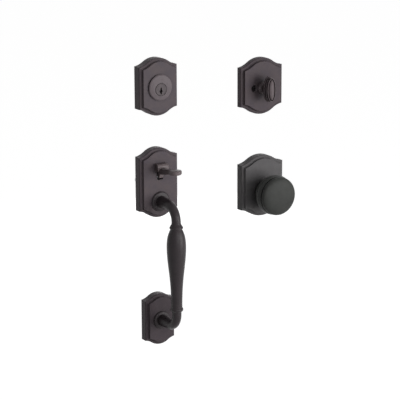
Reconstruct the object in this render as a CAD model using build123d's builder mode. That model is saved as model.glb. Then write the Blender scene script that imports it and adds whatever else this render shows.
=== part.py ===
# Entry door handleset in five members, laid out on the face of a door.
#
# Outside column: a keyed deadbolt trim, an escutcheon with a thumb piece, and a grip that runs
# down to a small lower rose. Inside column: a thumbturn trim and a round knob.
#
# Frame: millimetres, +Z up, +X to the right, +Y into the door. The origin is where the latch axis
# of the escutcheon meets the face of the door. A depth is measured outwards, along -Y.

from math import acos, atan2, cos, degrees, hypot, pi, radians, sin
import os

from build123d import *

# Places of the members on the door face
DEADBOLT_SPACING = 139.7
INSIDE_X = 181.3
THUMBTURN_Z = 123.6
KNOB_Z = -35.0
KEY_DROP = 2.8
TURN_DROP = 2.3
KNOB_DROP = 7.8

# Shape and clearances that the members share
FLARE_ANGLE = 8.0
WALL = 3.0
COVE = 2.1
PANEL_ROUND = 0.8
SLAB_ROUND = 2.2
PLATE_GAP = 0.4
RUNNING_GAP = 0.1
LOOSE_GAP = 0.3
CLIP_THICKNESS = 1.2
CLIP_GAP_ANGLE = 70.0

# Keyed deadbolt rose
KEYED_WIDTH = 63.2
KEYED_CORNER_HEIGHT = 62.0
KEYED_RISE = 11.3
KEYED_SLAB = 14.7
KEYED_PANEL = 4.0
KEYED_INSET = 4.5

# Key cylinder
COLLAR_DIAMETER = 38.0
COLLAR_HEIGHT = 3.4
COLLAR_SLOPE = 1.3
HOUSING_DIAMETER = 34.0
HOUSING_REAR = 12.0
EAR_RADIUS = 4.6
EAR_FRONT = 13.0
PLUG_DIAMETER = 13.0
PLUG_HEAD_DIAMETER = 18.0
PLUG_HEAD_DEPTH = 2.4
PLUG_PROUD = 0.3
PLUG_GROOVE = 0.5
PLUG_TAIL = 3.0
KEYWAY_WIDTH = 2.4
KEYWAY_WARD = 1.2
KEYWAY_TOP = 3.2
KEYWAY_DEPTH = 27.0
PIN_COUNT = 5
PIN_PITCH = 4.0
PIN_RADIUS = 1.45
PIN_FRONT = 17.0
KEY_PIN_LENGTH = 5.0
KEY_PIN_STEP = 0.5
DRIVER_PIN_LENGTH = 5.0
CHAMBER_LENGTH = 10.0
TAILPIECE_WIDTH = 6.4
TAILPIECE_THICKNESS = 2.0
TAILPIECE_SLOT = 4.0
TAILPIECE_LENGTH = 34.0

# Thumbturn rose and turn
TURN_WIDTH = 74.4
TURN_CORNER_HEIGHT = 59.4
TURN_RISE = 13.3
TURN_SLAB = 9.0
TURN_PANEL = 3.8
TURN_INSET = 5.2
TURN_BOSS_RADIUS = 9.5
SCREW_BOSS_RADIUS = 7.2
TURN_JOURNAL_RADIUS = 5.0
TURN_FOOT_RADIUS = 9.4
TURN_FOOT_HEIGHT = 1.6
TURN_WAIST_RADIUS = 4.6
TURN_NECK_RADIUS = 6.2
TURN_OVAL_START = 27.0
TURN_OVAL_WIDTH = 18.4
TURN_OVAL_HEIGHT = 38.6
TURN_RIM = 3.0
TURN_GROOVE = 1.2
TURN_GROOVE_DEPTH = 1.6
TURN_STEP = 0.8
TURN_CROWN = 3.6
TURN_CROWN_ROUND = 2.6
TURN_REAR = 3.0
TURN_WASHER_THICKNESS = 0.6
TURN_SOCKET_DEPTH = 9.0

# Screws and posts that cross the door
SCREW_SPACING = 30.0
SCREW_RADIUS = 2.1
SCREW_NECK_RADIUS = 1.7
SCREW_NECK_END = 1.0
SCREW_HEAD_RADIUS = 4.3
SCREW_SINK_RADIUS = 5.7
SCREW_REACH = 26.0
SCREW_SLOT = 1.1
SCREW_HOLE_RADIUS = 2.5
POST_SPACING = 34.0
POST_RADIUS = 4.0
POST_SHANK_RADIUS = 2.5
POST_SHANK_DEPTH = 9.0
POST_REACH = 22.0
POST_BORE_DEPTH = 22.6

# Escutcheon
HANDLE_WIDTH = 64.0
HANDLE_CORNER_HEIGHT = 80.6
HANDLE_RISE = 12.0
HANDLE_SLAB = 13.0
HANDLE_PANEL = 4.0
HANDLE_INSET = 4.5
BACKPLATE_THICKNESS = 1.6
POST_BOSS_RADIUS = 5.5

# Thumb piece
PRESS_ANGLE = 18.0
PIVOT_DEPTH = 12.5
PIVOT_Z = 18.0
PIVOT_RADIUS = 1.5
PIVOT_LUG_WIDTH = 4.0
PIVOT_LUG_HALF = 4.2
HUB_RADIUS = 3.8
HUB_WIDTH = 9.6
SLOT_WIDTH = 10.4
SLOT_LOW = 5.4
SLOT_HIGH = 26.0
SADDLE_WIDTH = 17.8
SADDLE_LOW = 19.2
SADDLE_HIGH = 30.4
SADDLE_FRONT = 26.4
BLADE_NECK_WIDTH = 11.6
BLADE_ROOT_TOP = 23.4
BLADE_ROOT_THICKNESS = 8.2
BLADE_ROUND = 2.3
PAD_DEPTH = 61.1
PAD_RADIUS = 9.4
PAD_TOP = 28.0
PAD_THICKNESS = 7.0
LUG_WIDTH = 6.6
LUG_LOW = 8.4
LUG_FRONT = 20.3

# Lift slide and latch driver behind the thumb piece
NOSE_DEPTH = 5.6
NOSE_RADIUS = 1.35
NOSE_WIDTH = 6.0
TAIL_HALF_THICKNESS = 0.9
SLIDE_REAR = 4.6
SLIDE_THICKNESS = 2.0
SLIDE_LEFT = -8.5
SLIDE_RIGHT = 5.0
SLIDE_LOW = -3.4
SLIDE_HIGH = 22.0
RAIL_WIDTH = 2.0
RAIL_LOW = 9.5
RAIL_HIGH = 15.0
CRANK_RADIUS = 4.2
CRANK_PIN_RADIUS = 1.25
CRANK_DISC_RADIUS = 6.6
CRANK_DISC_REAR = 2.3
CRANK_DISC_THICKNESS = 2.0
DRIVER_JOURNAL_RADIUS = 4.0
SPINDLE_RADIUS = 3.6
SPINDLE_REACH = 38.0
SPRING_WIRE = 0.5
SPRING_RADIUS = 2.0
SPRING_TURNS = 5.0
SPRING_LENGTH = 12.0

# Grip
GRIP_DEPTH = 62.5
GRIP_TOP_Z = -27.2
GRIP_BOTTOM_Z = -209.4
UPPER_ELBOW = 22.5
LOWER_ELBOW = 20.5
NECK_RADIUS = 6.9
FOOT_RADIUS = 14.7
LOWER_FOOT_RADIUS = 13.2
FOOT_THICKNESS = 3.2
FOOT_NECK_RADIUS = 9.3
BELL_RADIUS = 10.2
BELL_TOP_Z = -49.5
BELL_BOTTOM_Z = -57.4
GROOVE_RADIUS = 8.7
THROAT_Z = -59.6
SHOULDER_RADIUS = 12.3
SHOULDER_Z = -68.5
BELLY_RADIUS = 14.3
BELLY_Z = -86.5
WAIST_RADIUS = 10.2
WAIST_Z = -134.0
TAPER_RADIUS = 8.3
TAPER_Z = -170.0
BEAD_RADIUS = 9.6
BEAD_HALF_HEIGHT = 2.9
LOWER_BEAD_Z = -181.0
GRIP_SCREW_LENGTH = 14.0
GRIP_SCREW_HEAD_RADIUS = 4.6
GRIP_SCREW_HEAD = 3.0

# Lower rose
LOWER_WIDTH = 49.4
LOWER_CORNER_HEIGHT = 61.5
LOWER_RISE = 8.7
LOWER_SLAB = 13.0
LOWER_PANEL = 4.0
LOWER_INSET = 4.6
LOWER_POST_FLANGE = 6.0
LOWER_POST_REACH = 20.0

# Knob rose and knob
KNOB_WIDTH = 74.4
KNOB_CORNER_HEIGHT = 69.7
KNOB_RISE = 12.4
KNOB_SLAB = 12.4
KNOB_PANEL = 4.0
KNOB_INSET = 4.6
KNOB_RADIUS = 30.4
KNOB_BACK_DEPTH = 23.0
KNOB_RIM_DEPTH = 46.0
KNOB_SEAM_DEPTH = 53.0
KNOB_SEAM = 1.2
KNOB_FRONT = 64.0
KNOB_SHELL = 2.8
SHANK_RADIUS = 11.0
SHANK_REAR = 2.6
KNOB_SPINDLE_RADIUS = 4.5
KNOB_SPINDLE_REACH = 48.0
KNOB_PLATE_THICKNESS = 2.0
KNOB_SCREW_SPACING = 34.0
RETURN_COIL_RADIUS = 13.0
RETURN_WIRE = 0.8
RETURN_TURNS = 2.0
RETURN_PITCH = 2.6

KEYED_DEPTH = KEYED_SLAB + KEYED_PANEL
TURN_DEPTH = TURN_SLAB + TURN_PANEL
HANDLE_DEPTH = HANDLE_SLAB + HANDLE_PANEL
LOWER_DEPTH = LOWER_SLAB + LOWER_PANEL
KNOB_DEPTH = KNOB_SLAB + KNOB_PANEL
BACKPLATE_FRONT = PLATE_GAP + BACKPLATE_THICKNESS

pieces = []


def facing(x, z, depth=0.0):
    """The plane parallel to the door through a depth, seen from outside: local x is +X, y is +Z."""
    return Plane(origin=(x, -depth, z), x_dir=(1, 0, 0), z_dir=(0, -1, 0))


def lathe(x, z):
    """The horizontal plane through an outward axis: local x is a radius, outward depths are -y."""
    return Plane(origin=(x, 0, z), x_dir=(1, 0, 0), z_dir=(0, 0, 1))


def door_axis(x, z):
    """The axis through a place on the door face, pointing outwards."""
    return Axis((x, 0, z), (0, -1, 0))


def keep(shape, label):
    """Names a finished piece and keeps it for export."""
    shape.label = label
    pieces.append(shape)


def arched_face(width, corner_height, rise):
    """The outline of every plate: straight sides, flared corners and a crown, top and bottom.

    Each quarter has two arcs of one radius, tangent to each other. The first leaves the corner at
    the flare angle, and the second ends level at the crown.
    """
    half = width / 2
    flare = radians(FLARE_ANGLE)
    share = (half * (1 + cos(flare)) + rise * sin(flare)) / (2 * hypot(half, rise))
    steepest = atan2(rise, half) + acos(share)
    radius = half / (2 * sin(steepest) - sin(flare))
    with BuildSketch() as face:
        with BuildLine():
            side = Line((-half, 0), (-half, corner_height / 2))
            corner = JernArc(side @ 1, (cos(flare), sin(flare)), radius, degrees(steepest - flare))
            JernArc(corner @ 1, corner % 1, radius, -degrees(steepest))
            mirror(about=Plane.YZ)
            mirror(about=Plane.XZ)
        make_face()
    return face.sketch


def arched_rose(x, z, outline, steps):
    """A cast plate with a moulded edge and an open back.

    steps holds (height, inset) from the door outwards: the slab first, then each raised layer.
    """
    with BuildPart() as rose:
        depth = 0.0
        inset = 0.0
        for height, step_inset in steps:
            inset += step_inset
            with BuildSketch(facing(x, z, depth)):
                add(outline)
                if inset:
                    offset(amount=-inset, kind=Kind.INTERSECTION)
            extrude(amount=height)
            if depth:
                level = rose.faces().filter_by(Axis.Y)
                ledge = level.filter_by_position(Axis.Y, -depth - 0.1, -depth + 0.1)[0]
                fillet(ledge.inner_wires()[0].edges(), min(COVE, step_inset * 0.6))
            depth += height
        fillet(rose.faces().sort_by(Axis.Y)[0].edges(), PANEL_ROUND)
        slab = steps[0][0]
        level = rose.faces().filter_by(Axis.Y)
        ledge = level.filter_by_position(Axis.Y, -slab - 0.1, -slab + 0.1)[0]
        fillet(ledge.outer_wire().edges(), SLAB_ROUND)
        reach = 0.0
        inset = WALL
        for height, step_inset in steps:
            reach += height
            inset += step_inset
            with BuildSketch(facing(x, z)):
                add(outline)
                offset(amount=-inset, kind=Kind.INTERSECTION)
            extrude(amount=reach - WALL, mode=Mode.SUBTRACT)
    return rose.part


def machine_screws(places, head_depth, reach):
    """Oval-head slotted screws at (x, z) places, with the rim of the head at head_depth.

    Under the head a thinner neck crosses the plate, and the thread starts behind it.
    """
    with BuildPart() as screws:
        for x, z in places:
            with BuildSketch(lathe(x, z)):
                with BuildLine():
                    side = Polyline(
                        (0, reach),
                        (SCREW_RADIUS, reach),
                        (SCREW_RADIUS, SCREW_NECK_END),
                        (SCREW_NECK_RADIUS, SCREW_NECK_END),
                        (SCREW_NECK_RADIUS, SCREW_HEAD_RADIUS - SCREW_NECK_RADIUS - head_depth),
                        (SCREW_HEAD_RADIUS, -head_depth),
                    )
                    top = ThreePointArc(
                        side @ 1,
                        (SCREW_HEAD_RADIUS * 0.55, -head_depth - 0.7),
                        (0, -head_depth - 1.0),
                    )
                    Line(top @ 1, side @ 0)
                make_face()
            revolve(axis=door_axis(x, z))
        with BuildSketch(facing(0, 0, head_depth - 0.6)):
            with Locations(*places):
                Rectangle(SCREW_SLOT, 2.2 * SCREW_HEAD_RADIUS)
        extrude(amount=3.0, mode=Mode.SUBTRACT)
    return screws.part


def band(x, z, depth, thickness, inner, outer, gap_angle=0.0):
    """A flat ring, or a retaining clip where a gap angle in degrees is given."""
    with BuildPart() as flat:
        with BuildSketch(facing(x, z, depth)):
            Circle(outer)
            Circle(inner, mode=Mode.SUBTRACT)
            if gap_angle:
                with Locations((0, -outer)):
                    Rectangle(2 * inner * sin(radians(gap_angle / 2)), outer * 1.6, mode=Mode.SUBTRACT)
        extrude(amount=thickness)
    return flat.part


# Keyed deadbolt trim
keyed_z = DEADBOLT_SPACING + KEY_DROP
plug_z = DEADBOLT_SPACING
keyed_outline = arched_face(KEYED_WIDTH, KEYED_CORNER_HEIGHT, KEYED_RISE)
keyed_blank = arched_rose(0, keyed_z, keyed_outline, [(KEYED_SLAB, 0), (KEYED_PANEL, KEYED_INSET)])

with BuildPart() as keyed_rose:
    add(keyed_blank)
    with BuildSketch(facing(0, keyed_z)):
        Circle(HOUSING_DIAMETER / 2 + LOOSE_GAP)
    extrude(amount=KEYED_DEPTH, mode=Mode.SUBTRACT)
keep(keyed_rose.part, "keyed_rose")

collar_front = KEYED_DEPTH + COLLAR_HEIGHT
plug_face = collar_front + PLUG_PROUD
plug_rear = HOUSING_REAR + PLUG_TAIL
ear_places = [(-SCREW_SPACING / 2, plug_z), (SCREW_SPACING / 2, plug_z)]
chambers = [(0, PIN_PITCH * row - PIN_FRONT) for row in range(PIN_COUNT)]
with BuildPart() as cylinder_housing:
    with BuildSketch(lathe(0, keyed_z)):
        with BuildLine():
            Polyline(
                (0, HOUSING_REAR),
                (HOUSING_DIAMETER / 2, HOUSING_REAR),
                (HOUSING_DIAMETER / 2, -KEYED_DEPTH),
                (COLLAR_DIAMETER / 2, -KEYED_DEPTH),
                (COLLAR_DIAMETER / 2, COLLAR_SLOPE - collar_front),
                (COLLAR_DIAMETER / 2 - COLLAR_SLOPE, COLLAR_SLOPE * 0.4 - collar_front),
                (PLUG_HEAD_DIAMETER / 2 + KEY_DROP + 2 * PLUG_GROOVE, -collar_front),
                (0, -collar_front),
                close=True,
            )
        make_face()
    revolve(axis=door_axis(0, keyed_z))
    with BuildSketch(facing(0, 0, -HOUSING_REAR)):
        with Locations(*ear_places):
            Circle(EAR_RADIUS)
    extrude(amount=HOUSING_REAR + EAR_FRONT)
    with BuildSketch(facing(0, 0, -HOUSING_REAR)):
        with Locations(*ear_places):
            Circle(SCREW_RADIUS)
    extrude(amount=POST_BORE_DEPTH, mode=Mode.SUBTRACT)
    with BuildSketch(facing(0, plug_z, collar_front - PLUG_HEAD_DEPTH)):
        Circle(PLUG_HEAD_DIAMETER / 2 + PLUG_GROOVE)
    extrude(amount=2 * PLUG_HEAD_DEPTH, mode=Mode.SUBTRACT)
    with BuildSketch(facing(0, plug_z, -HOUSING_REAR)):
        Circle(PLUG_DIAMETER / 2 + RUNNING_GAP)
    extrude(amount=HOUSING_REAR + collar_front, mode=Mode.SUBTRACT)
    with BuildSketch(Plane.XY.offset(plug_z)):
        with Locations(*chambers):
            Circle(PIN_RADIUS + RUNNING_GAP)
    extrude(amount=PLUG_DIAMETER / 2 + CHAMBER_LENGTH, mode=Mode.SUBTRACT)
keep(cylinder_housing.part, "cylinder_housing")

with BuildPart() as cylinder_plug:
    with BuildSketch(facing(0, plug_z, -plug_rear)):
        Circle(PLUG_DIAMETER / 2)
    extrude(amount=plug_rear + collar_front)
    with BuildSketch(facing(0, plug_z, plug_face)):
        Circle(PLUG_HEAD_DIAMETER / 2)
    extrude(amount=RUNNING_GAP - PLUG_PROUD - PLUG_HEAD_DEPTH)
    chamfer(cylinder_plug.faces().sort_by(Axis.Y)[0].edges(), 0.4)
    with BuildSketch(facing(0, plug_z, plug_face)):
        with BuildLine():
            foot = -PLUG_DIAMETER / 2 - LOOSE_GAP
            half = KEYWAY_WIDTH / 2
            Polyline(
                (-half, foot),
                (-half, foot * 0.64),
                (-half - KEYWAY_WARD, foot * 0.52),
                (-half - KEYWAY_WARD, foot * 0.26),
                (-half, foot * 0.12),
                (-half * 0.6, KEYWAY_TOP),
                (half * 0.6, KEYWAY_TOP),
                (half, foot * 0.04),
                (half + KEYWAY_WARD, foot * 0.2),
                (half + KEYWAY_WARD, foot * 0.44),
                (half, foot * 0.56),
                (half, foot),
                close=True,
            )
        make_face()
    extrude(amount=-KEYWAY_DEPTH, mode=Mode.SUBTRACT)
    with BuildSketch(Plane.XY.offset(plug_z + 1.0)):
        with Locations(*chambers):
            Circle(PIN_RADIUS + RUNNING_GAP)
    extrude(amount=PLUG_DIAMETER, mode=Mode.SUBTRACT)
    with BuildSketch(facing(0, plug_z, -HOUSING_REAR - RUNNING_GAP)):
        Circle(PLUG_DIAMETER / 2)
        Circle(PLUG_DIAMETER / 2 - CLIP_THICKNESS, mode=Mode.SUBTRACT)
    extrude(amount=-CLIP_THICKNESS, mode=Mode.SUBTRACT)
    with BuildSketch(facing(0, plug_z, -plug_rear)):
        Rectangle(TAILPIECE_THICKNESS, TAILPIECE_WIDTH)
    extrude(amount=TAILPIECE_SLOT, mode=Mode.SUBTRACT)
keep(cylinder_plug.part, "cylinder_plug")

with BuildPart() as key_pins:
    for row in range(PIN_COUNT):
        with BuildSketch(Plane.XY.offset(plug_z + PLUG_DIAMETER / 2 - 2 * RUNNING_GAP)):
            with Locations(chambers[row]):
                Circle(PIN_RADIUS)
        extrude(amount=KEY_PIN_STEP * (row % 3) - KEY_PIN_LENGTH)
keep(key_pins.part, "key_pins")

with BuildPart() as driver_pins:
    with BuildSketch(Plane.XY.offset(plug_z + PLUG_DIAMETER / 2 + 2 * RUNNING_GAP)):
        with Locations(*chambers):
            Circle(PIN_RADIUS)
    extrude(amount=DRIVER_PIN_LENGTH)
keep(driver_pins.part, "driver_pins")

clip_depth = -HOUSING_REAR - RUNNING_GAP - CLIP_THICKNESS
clip_inner = PLUG_DIAMETER / 2 - CLIP_THICKNESS
clip_outer = PLUG_DIAMETER / 2 + CLIP_THICKNESS
plug_clip = band(0, plug_z, clip_depth, CLIP_THICKNESS, clip_inner, clip_outer, CLIP_GAP_ANGLE)
keep(plug_clip, "plug_clip")

with BuildPart() as tailpiece:
    with BuildSketch(facing(0, plug_z, TAILPIECE_SLOT - plug_rear)):
        Rectangle(TAILPIECE_THICKNESS, TAILPIECE_WIDTH)
    extrude(amount=-TAILPIECE_LENGTH)
keep(tailpiece.part, "tailpiece")

# Thumbturn trim
turn_x = INSIDE_X
turn_outline = arched_face(TURN_WIDTH, TURN_CORNER_HEIGHT, TURN_RISE)
turn_steps = [(TURN_SLAB, 0), (TURN_PANEL, TURN_INSET)]
turn_blank = arched_rose(turn_x, THUMBTURN_Z + TURN_DROP, turn_outline, turn_steps)
turn_screw_places = [
    (turn_x - SCREW_SPACING / 2, THUMBTURN_Z),
    (turn_x + SCREW_SPACING / 2, THUMBTURN_Z),
]

with BuildPart() as thumbturn_rose:
    add(turn_blank)
    with BuildSketch(facing(turn_x, THUMBTURN_Z)):
        Circle(TURN_BOSS_RADIUS)
        with Locations((-SCREW_SPACING / 2, 0), (SCREW_SPACING / 2, 0)):
            Circle(SCREW_BOSS_RADIUS)
    extrude(amount=TURN_DEPTH - WALL / 2)
    with BuildSketch(facing(turn_x, THUMBTURN_Z)):
        Circle(TURN_JOURNAL_RADIUS + RUNNING_GAP)
    extrude(amount=TURN_DEPTH, mode=Mode.SUBTRACT)
    with Locations(facing(turn_x, THUMBTURN_Z, TURN_DEPTH)):
        with Locations((-SCREW_SPACING / 2, 0), (SCREW_SPACING / 2, 0)):
            CounterSinkHole(SCREW_HOLE_RADIUS, SCREW_SINK_RADIUS, TURN_DEPTH, 90)
keep(thumbturn_rose.part, "thumbturn_rose")

turn_foot = TURN_DEPTH + RUNNING_GAP
with BuildPart() as thumbturn:
    with BuildSketch(lathe(turn_x, THUMBTURN_Z)):
        with BuildLine():
            base = Polyline(
                (0, TURN_REAR),
                (TURN_JOURNAL_RADIUS, TURN_REAR),
                (TURN_JOURNAL_RADIUS, -turn_foot),
                (TURN_FOOT_RADIUS, -turn_foot),
                (TURN_FOOT_RADIUS - 0.5, -turn_foot - TURN_FOOT_HEIGHT),
            )
            neck = Spline(
                base @ 1,
                (TURN_WAIST_RADIUS, -0.5 * (turn_foot + TURN_OVAL_START)),
                (TURN_NECK_RADIUS, -TURN_OVAL_START),
                tangents=((-1, 0), (0.6, -0.8)),
            )
            Polyline(neck @ 1, (0, -TURN_OVAL_START), base @ 0)
        make_face()
    revolve(axis=door_axis(turn_x, THUMBTURN_Z))
    layer = TURN_OVAL_START
    for shrink, height in ((0, TURN_RIM), (TURN_GROOVE_DEPTH, TURN_GROOVE), (TURN_STEP, TURN_RIM)):
        with BuildSketch(facing(turn_x, THUMBTURN_Z, layer)):
            Ellipse(TURN_OVAL_WIDTH / 2 - shrink, TURN_OVAL_HEIGHT / 2 - shrink)
        extrude(amount=height)
        layer += height
    with BuildSketch(facing(turn_x, THUMBTURN_Z, layer)):
        half_width = TURN_OVAL_WIDTH / 2 - 2 * TURN_STEP
        half_height = TURN_OVAL_HEIGHT / 2 - 2 * TURN_STEP
        Ellipse(half_width - TURN_STEP, half_height - TURN_STEP)
    extrude(amount=TURN_GROOVE)
    layer += TURN_GROOVE
    with BuildSketch(facing(turn_x, THUMBTURN_Z, layer)):
        Ellipse(half_width, half_height)
    extrude(amount=TURN_CROWN)
    fillet(thumbturn.faces().sort_by(Axis.Y)[0].edges(), TURN_CROWN_ROUND)
    with BuildSketch(facing(turn_x, THUMBTURN_Z, -TURN_REAR)):
        Rectangle(TAILPIECE_THICKNESS + LOOSE_GAP, TAILPIECE_WIDTH + LOOSE_GAP)
    extrude(amount=TURN_SOCKET_DEPTH, mode=Mode.SUBTRACT)
    with BuildSketch(facing(turn_x, THUMBTURN_Z, -2 * RUNNING_GAP - TURN_WASHER_THICKNESS)):
        Circle(TURN_JOURNAL_RADIUS)
        Circle(TURN_JOURNAL_RADIUS - CLIP_THICKNESS / 2, mode=Mode.SUBTRACT)
    extrude(amount=-CLIP_THICKNESS, mode=Mode.SUBTRACT)
keep(thumbturn.part, "thumbturn")

washer_depth = -RUNNING_GAP - TURN_WASHER_THICKNESS
washer_inner = TURN_JOURNAL_RADIUS + RUNNING_GAP
turn_washer = band(turn_x, THUMBTURN_Z, washer_depth, TURN_WASHER_THICKNESS, washer_inner, 8.6)
keep(turn_washer, "turn_washer")

clip_depth = washer_depth - RUNNING_GAP - CLIP_THICKNESS
clip_inner = TURN_JOURNAL_RADIUS - CLIP_THICKNESS / 2
turn_clip = band(turn_x, THUMBTURN_Z, clip_depth, CLIP_THICKNESS, clip_inner, 7.4, CLIP_GAP_ANGLE)
keep(turn_clip, "turn_clip")

turn_head_depth = TURN_DEPTH - SCREW_SINK_RADIUS + SCREW_HEAD_RADIUS
keep(machine_screws(turn_screw_places, turn_head_depth, SCREW_REACH), "turn_screws")

# Escutcheon
handle_outline = arched_face(HANDLE_WIDTH, HANDLE_CORNER_HEIGHT, HANDLE_RISE)
handle_blank = arched_rose(0, 0, handle_outline, [(HANDLE_SLAB, 0), (HANDLE_PANEL, HANDLE_INSET)])
post_places = [(-POST_SPACING / 2, 0), (POST_SPACING / 2, 0)]
panel_back = HANDLE_DEPTH - WALL
lug_offset = SLOT_WIDTH / 2 + PIVOT_LUG_WIDTH / 2

with BuildPart() as escutcheon:
    add(handle_blank)
    with BuildSketch(facing(0, 0, BACKPLATE_FRONT)):
        with Locations(*post_places):
            Circle(POST_BOSS_RADIUS)
    extrude(amount=panel_back - BACKPLATE_FRONT + WALL / 2)
    with BuildSketch(facing(0, PIVOT_Z, PIVOT_DEPTH - PIVOT_LUG_HALF)):
        with Locations((-lug_offset, 0), (lug_offset, 0)):
            Rectangle(PIVOT_LUG_WIDTH, 2 * PIVOT_LUG_HALF)
    extrude(amount=panel_back - PIVOT_DEPTH + PIVOT_LUG_HALF + WALL / 2)
    with BuildSketch(facing(0, (SLOT_LOW + SLOT_HIGH) / 2, panel_back - WALL)):
        RectangleRounded(SLOT_WIDTH, SLOT_HIGH - SLOT_LOW, 2.0)
    extrude(amount=3 * WALL, mode=Mode.SUBTRACT)
    with BuildSketch(Plane.YZ):
        with Locations((-PIVOT_DEPTH, PIVOT_Z)):
            Circle(PIVOT_RADIUS)
    extrude(amount=SLOT_WIDTH / 2 + PIVOT_LUG_WIDTH, both=True, mode=Mode.SUBTRACT)
    with BuildSketch(facing(0, 0, BACKPLATE_FRONT)):
        with Locations(*post_places):
            Circle(POST_SHANK_RADIUS)
    extrude(amount=POST_SHANK_DEPTH - BACKPLATE_FRONT, mode=Mode.SUBTRACT)
    with BuildSketch(facing(0, GRIP_TOP_Z)):
        Circle(POST_SHANK_RADIUS + LOOSE_GAP)
    extrude(amount=HANDLE_DEPTH, mode=Mode.SUBTRACT)
keep(escutcheon.part, "escutcheon")

rail_left = SLIDE_LEFT - 2 * RUNNING_GAP - RAIL_WIDTH / 2
rail_right = SLIDE_RIGHT + 2 * RUNNING_GAP + RAIL_WIDTH / 2
with BuildPart() as escutcheon_backplate:
    with BuildSketch(facing(0, 0, PLATE_GAP)):
        add(handle_outline)
        offset(amount=-WALL - LOOSE_GAP, kind=Kind.INTERSECTION)
        Circle(DRIVER_JOURNAL_RADIUS + RUNNING_GAP, mode=Mode.SUBTRACT)
        with Locations(*post_places):
            Circle(POST_SHANK_RADIUS, mode=Mode.SUBTRACT)
        with Locations((0, GRIP_TOP_Z)):
            Circle(GRIP_SCREW_HEAD_RADIUS + 1.0, mode=Mode.SUBTRACT)
    extrude(amount=BACKPLATE_THICKNESS)
    with BuildSketch(facing(0, (RAIL_LOW + RAIL_HIGH) / 2, BACKPLATE_FRONT)):
        with Locations((rail_left, 0), (rail_right, 0)):
            Rectangle(RAIL_WIDTH, RAIL_HIGH - RAIL_LOW)
    extrude(amount=SLIDE_REAR + SLIDE_THICKNESS - BACKPLATE_FRONT)
keep(escutcheon_backplate.part, "escutcheon_backplate")

with BuildPart() as mounting_posts:
    for x, z in post_places:
        with BuildSketch(lathe(x, z)):
            with BuildLine():
                Polyline(
                    (0, -POST_SHANK_DEPTH),
                    (POST_SHANK_RADIUS, -POST_SHANK_DEPTH),
                    (POST_SHANK_RADIUS, -PLATE_GAP),
                    (POST_RADIUS, -PLATE_GAP),
                    (POST_RADIUS, POST_REACH),
                    (0, POST_REACH),
                    close=True,
                )
            make_face()
        revolve(axis=door_axis(x, z))
    with BuildSketch(facing(0, 0, -POST_REACH)):
        with Locations(*post_places):
            Circle(SCREW_RADIUS)
    extrude(amount=POST_BORE_DEPTH, mode=Mode.SUBTRACT)
keep(mounting_posts.part, "mounting_posts")

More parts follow.
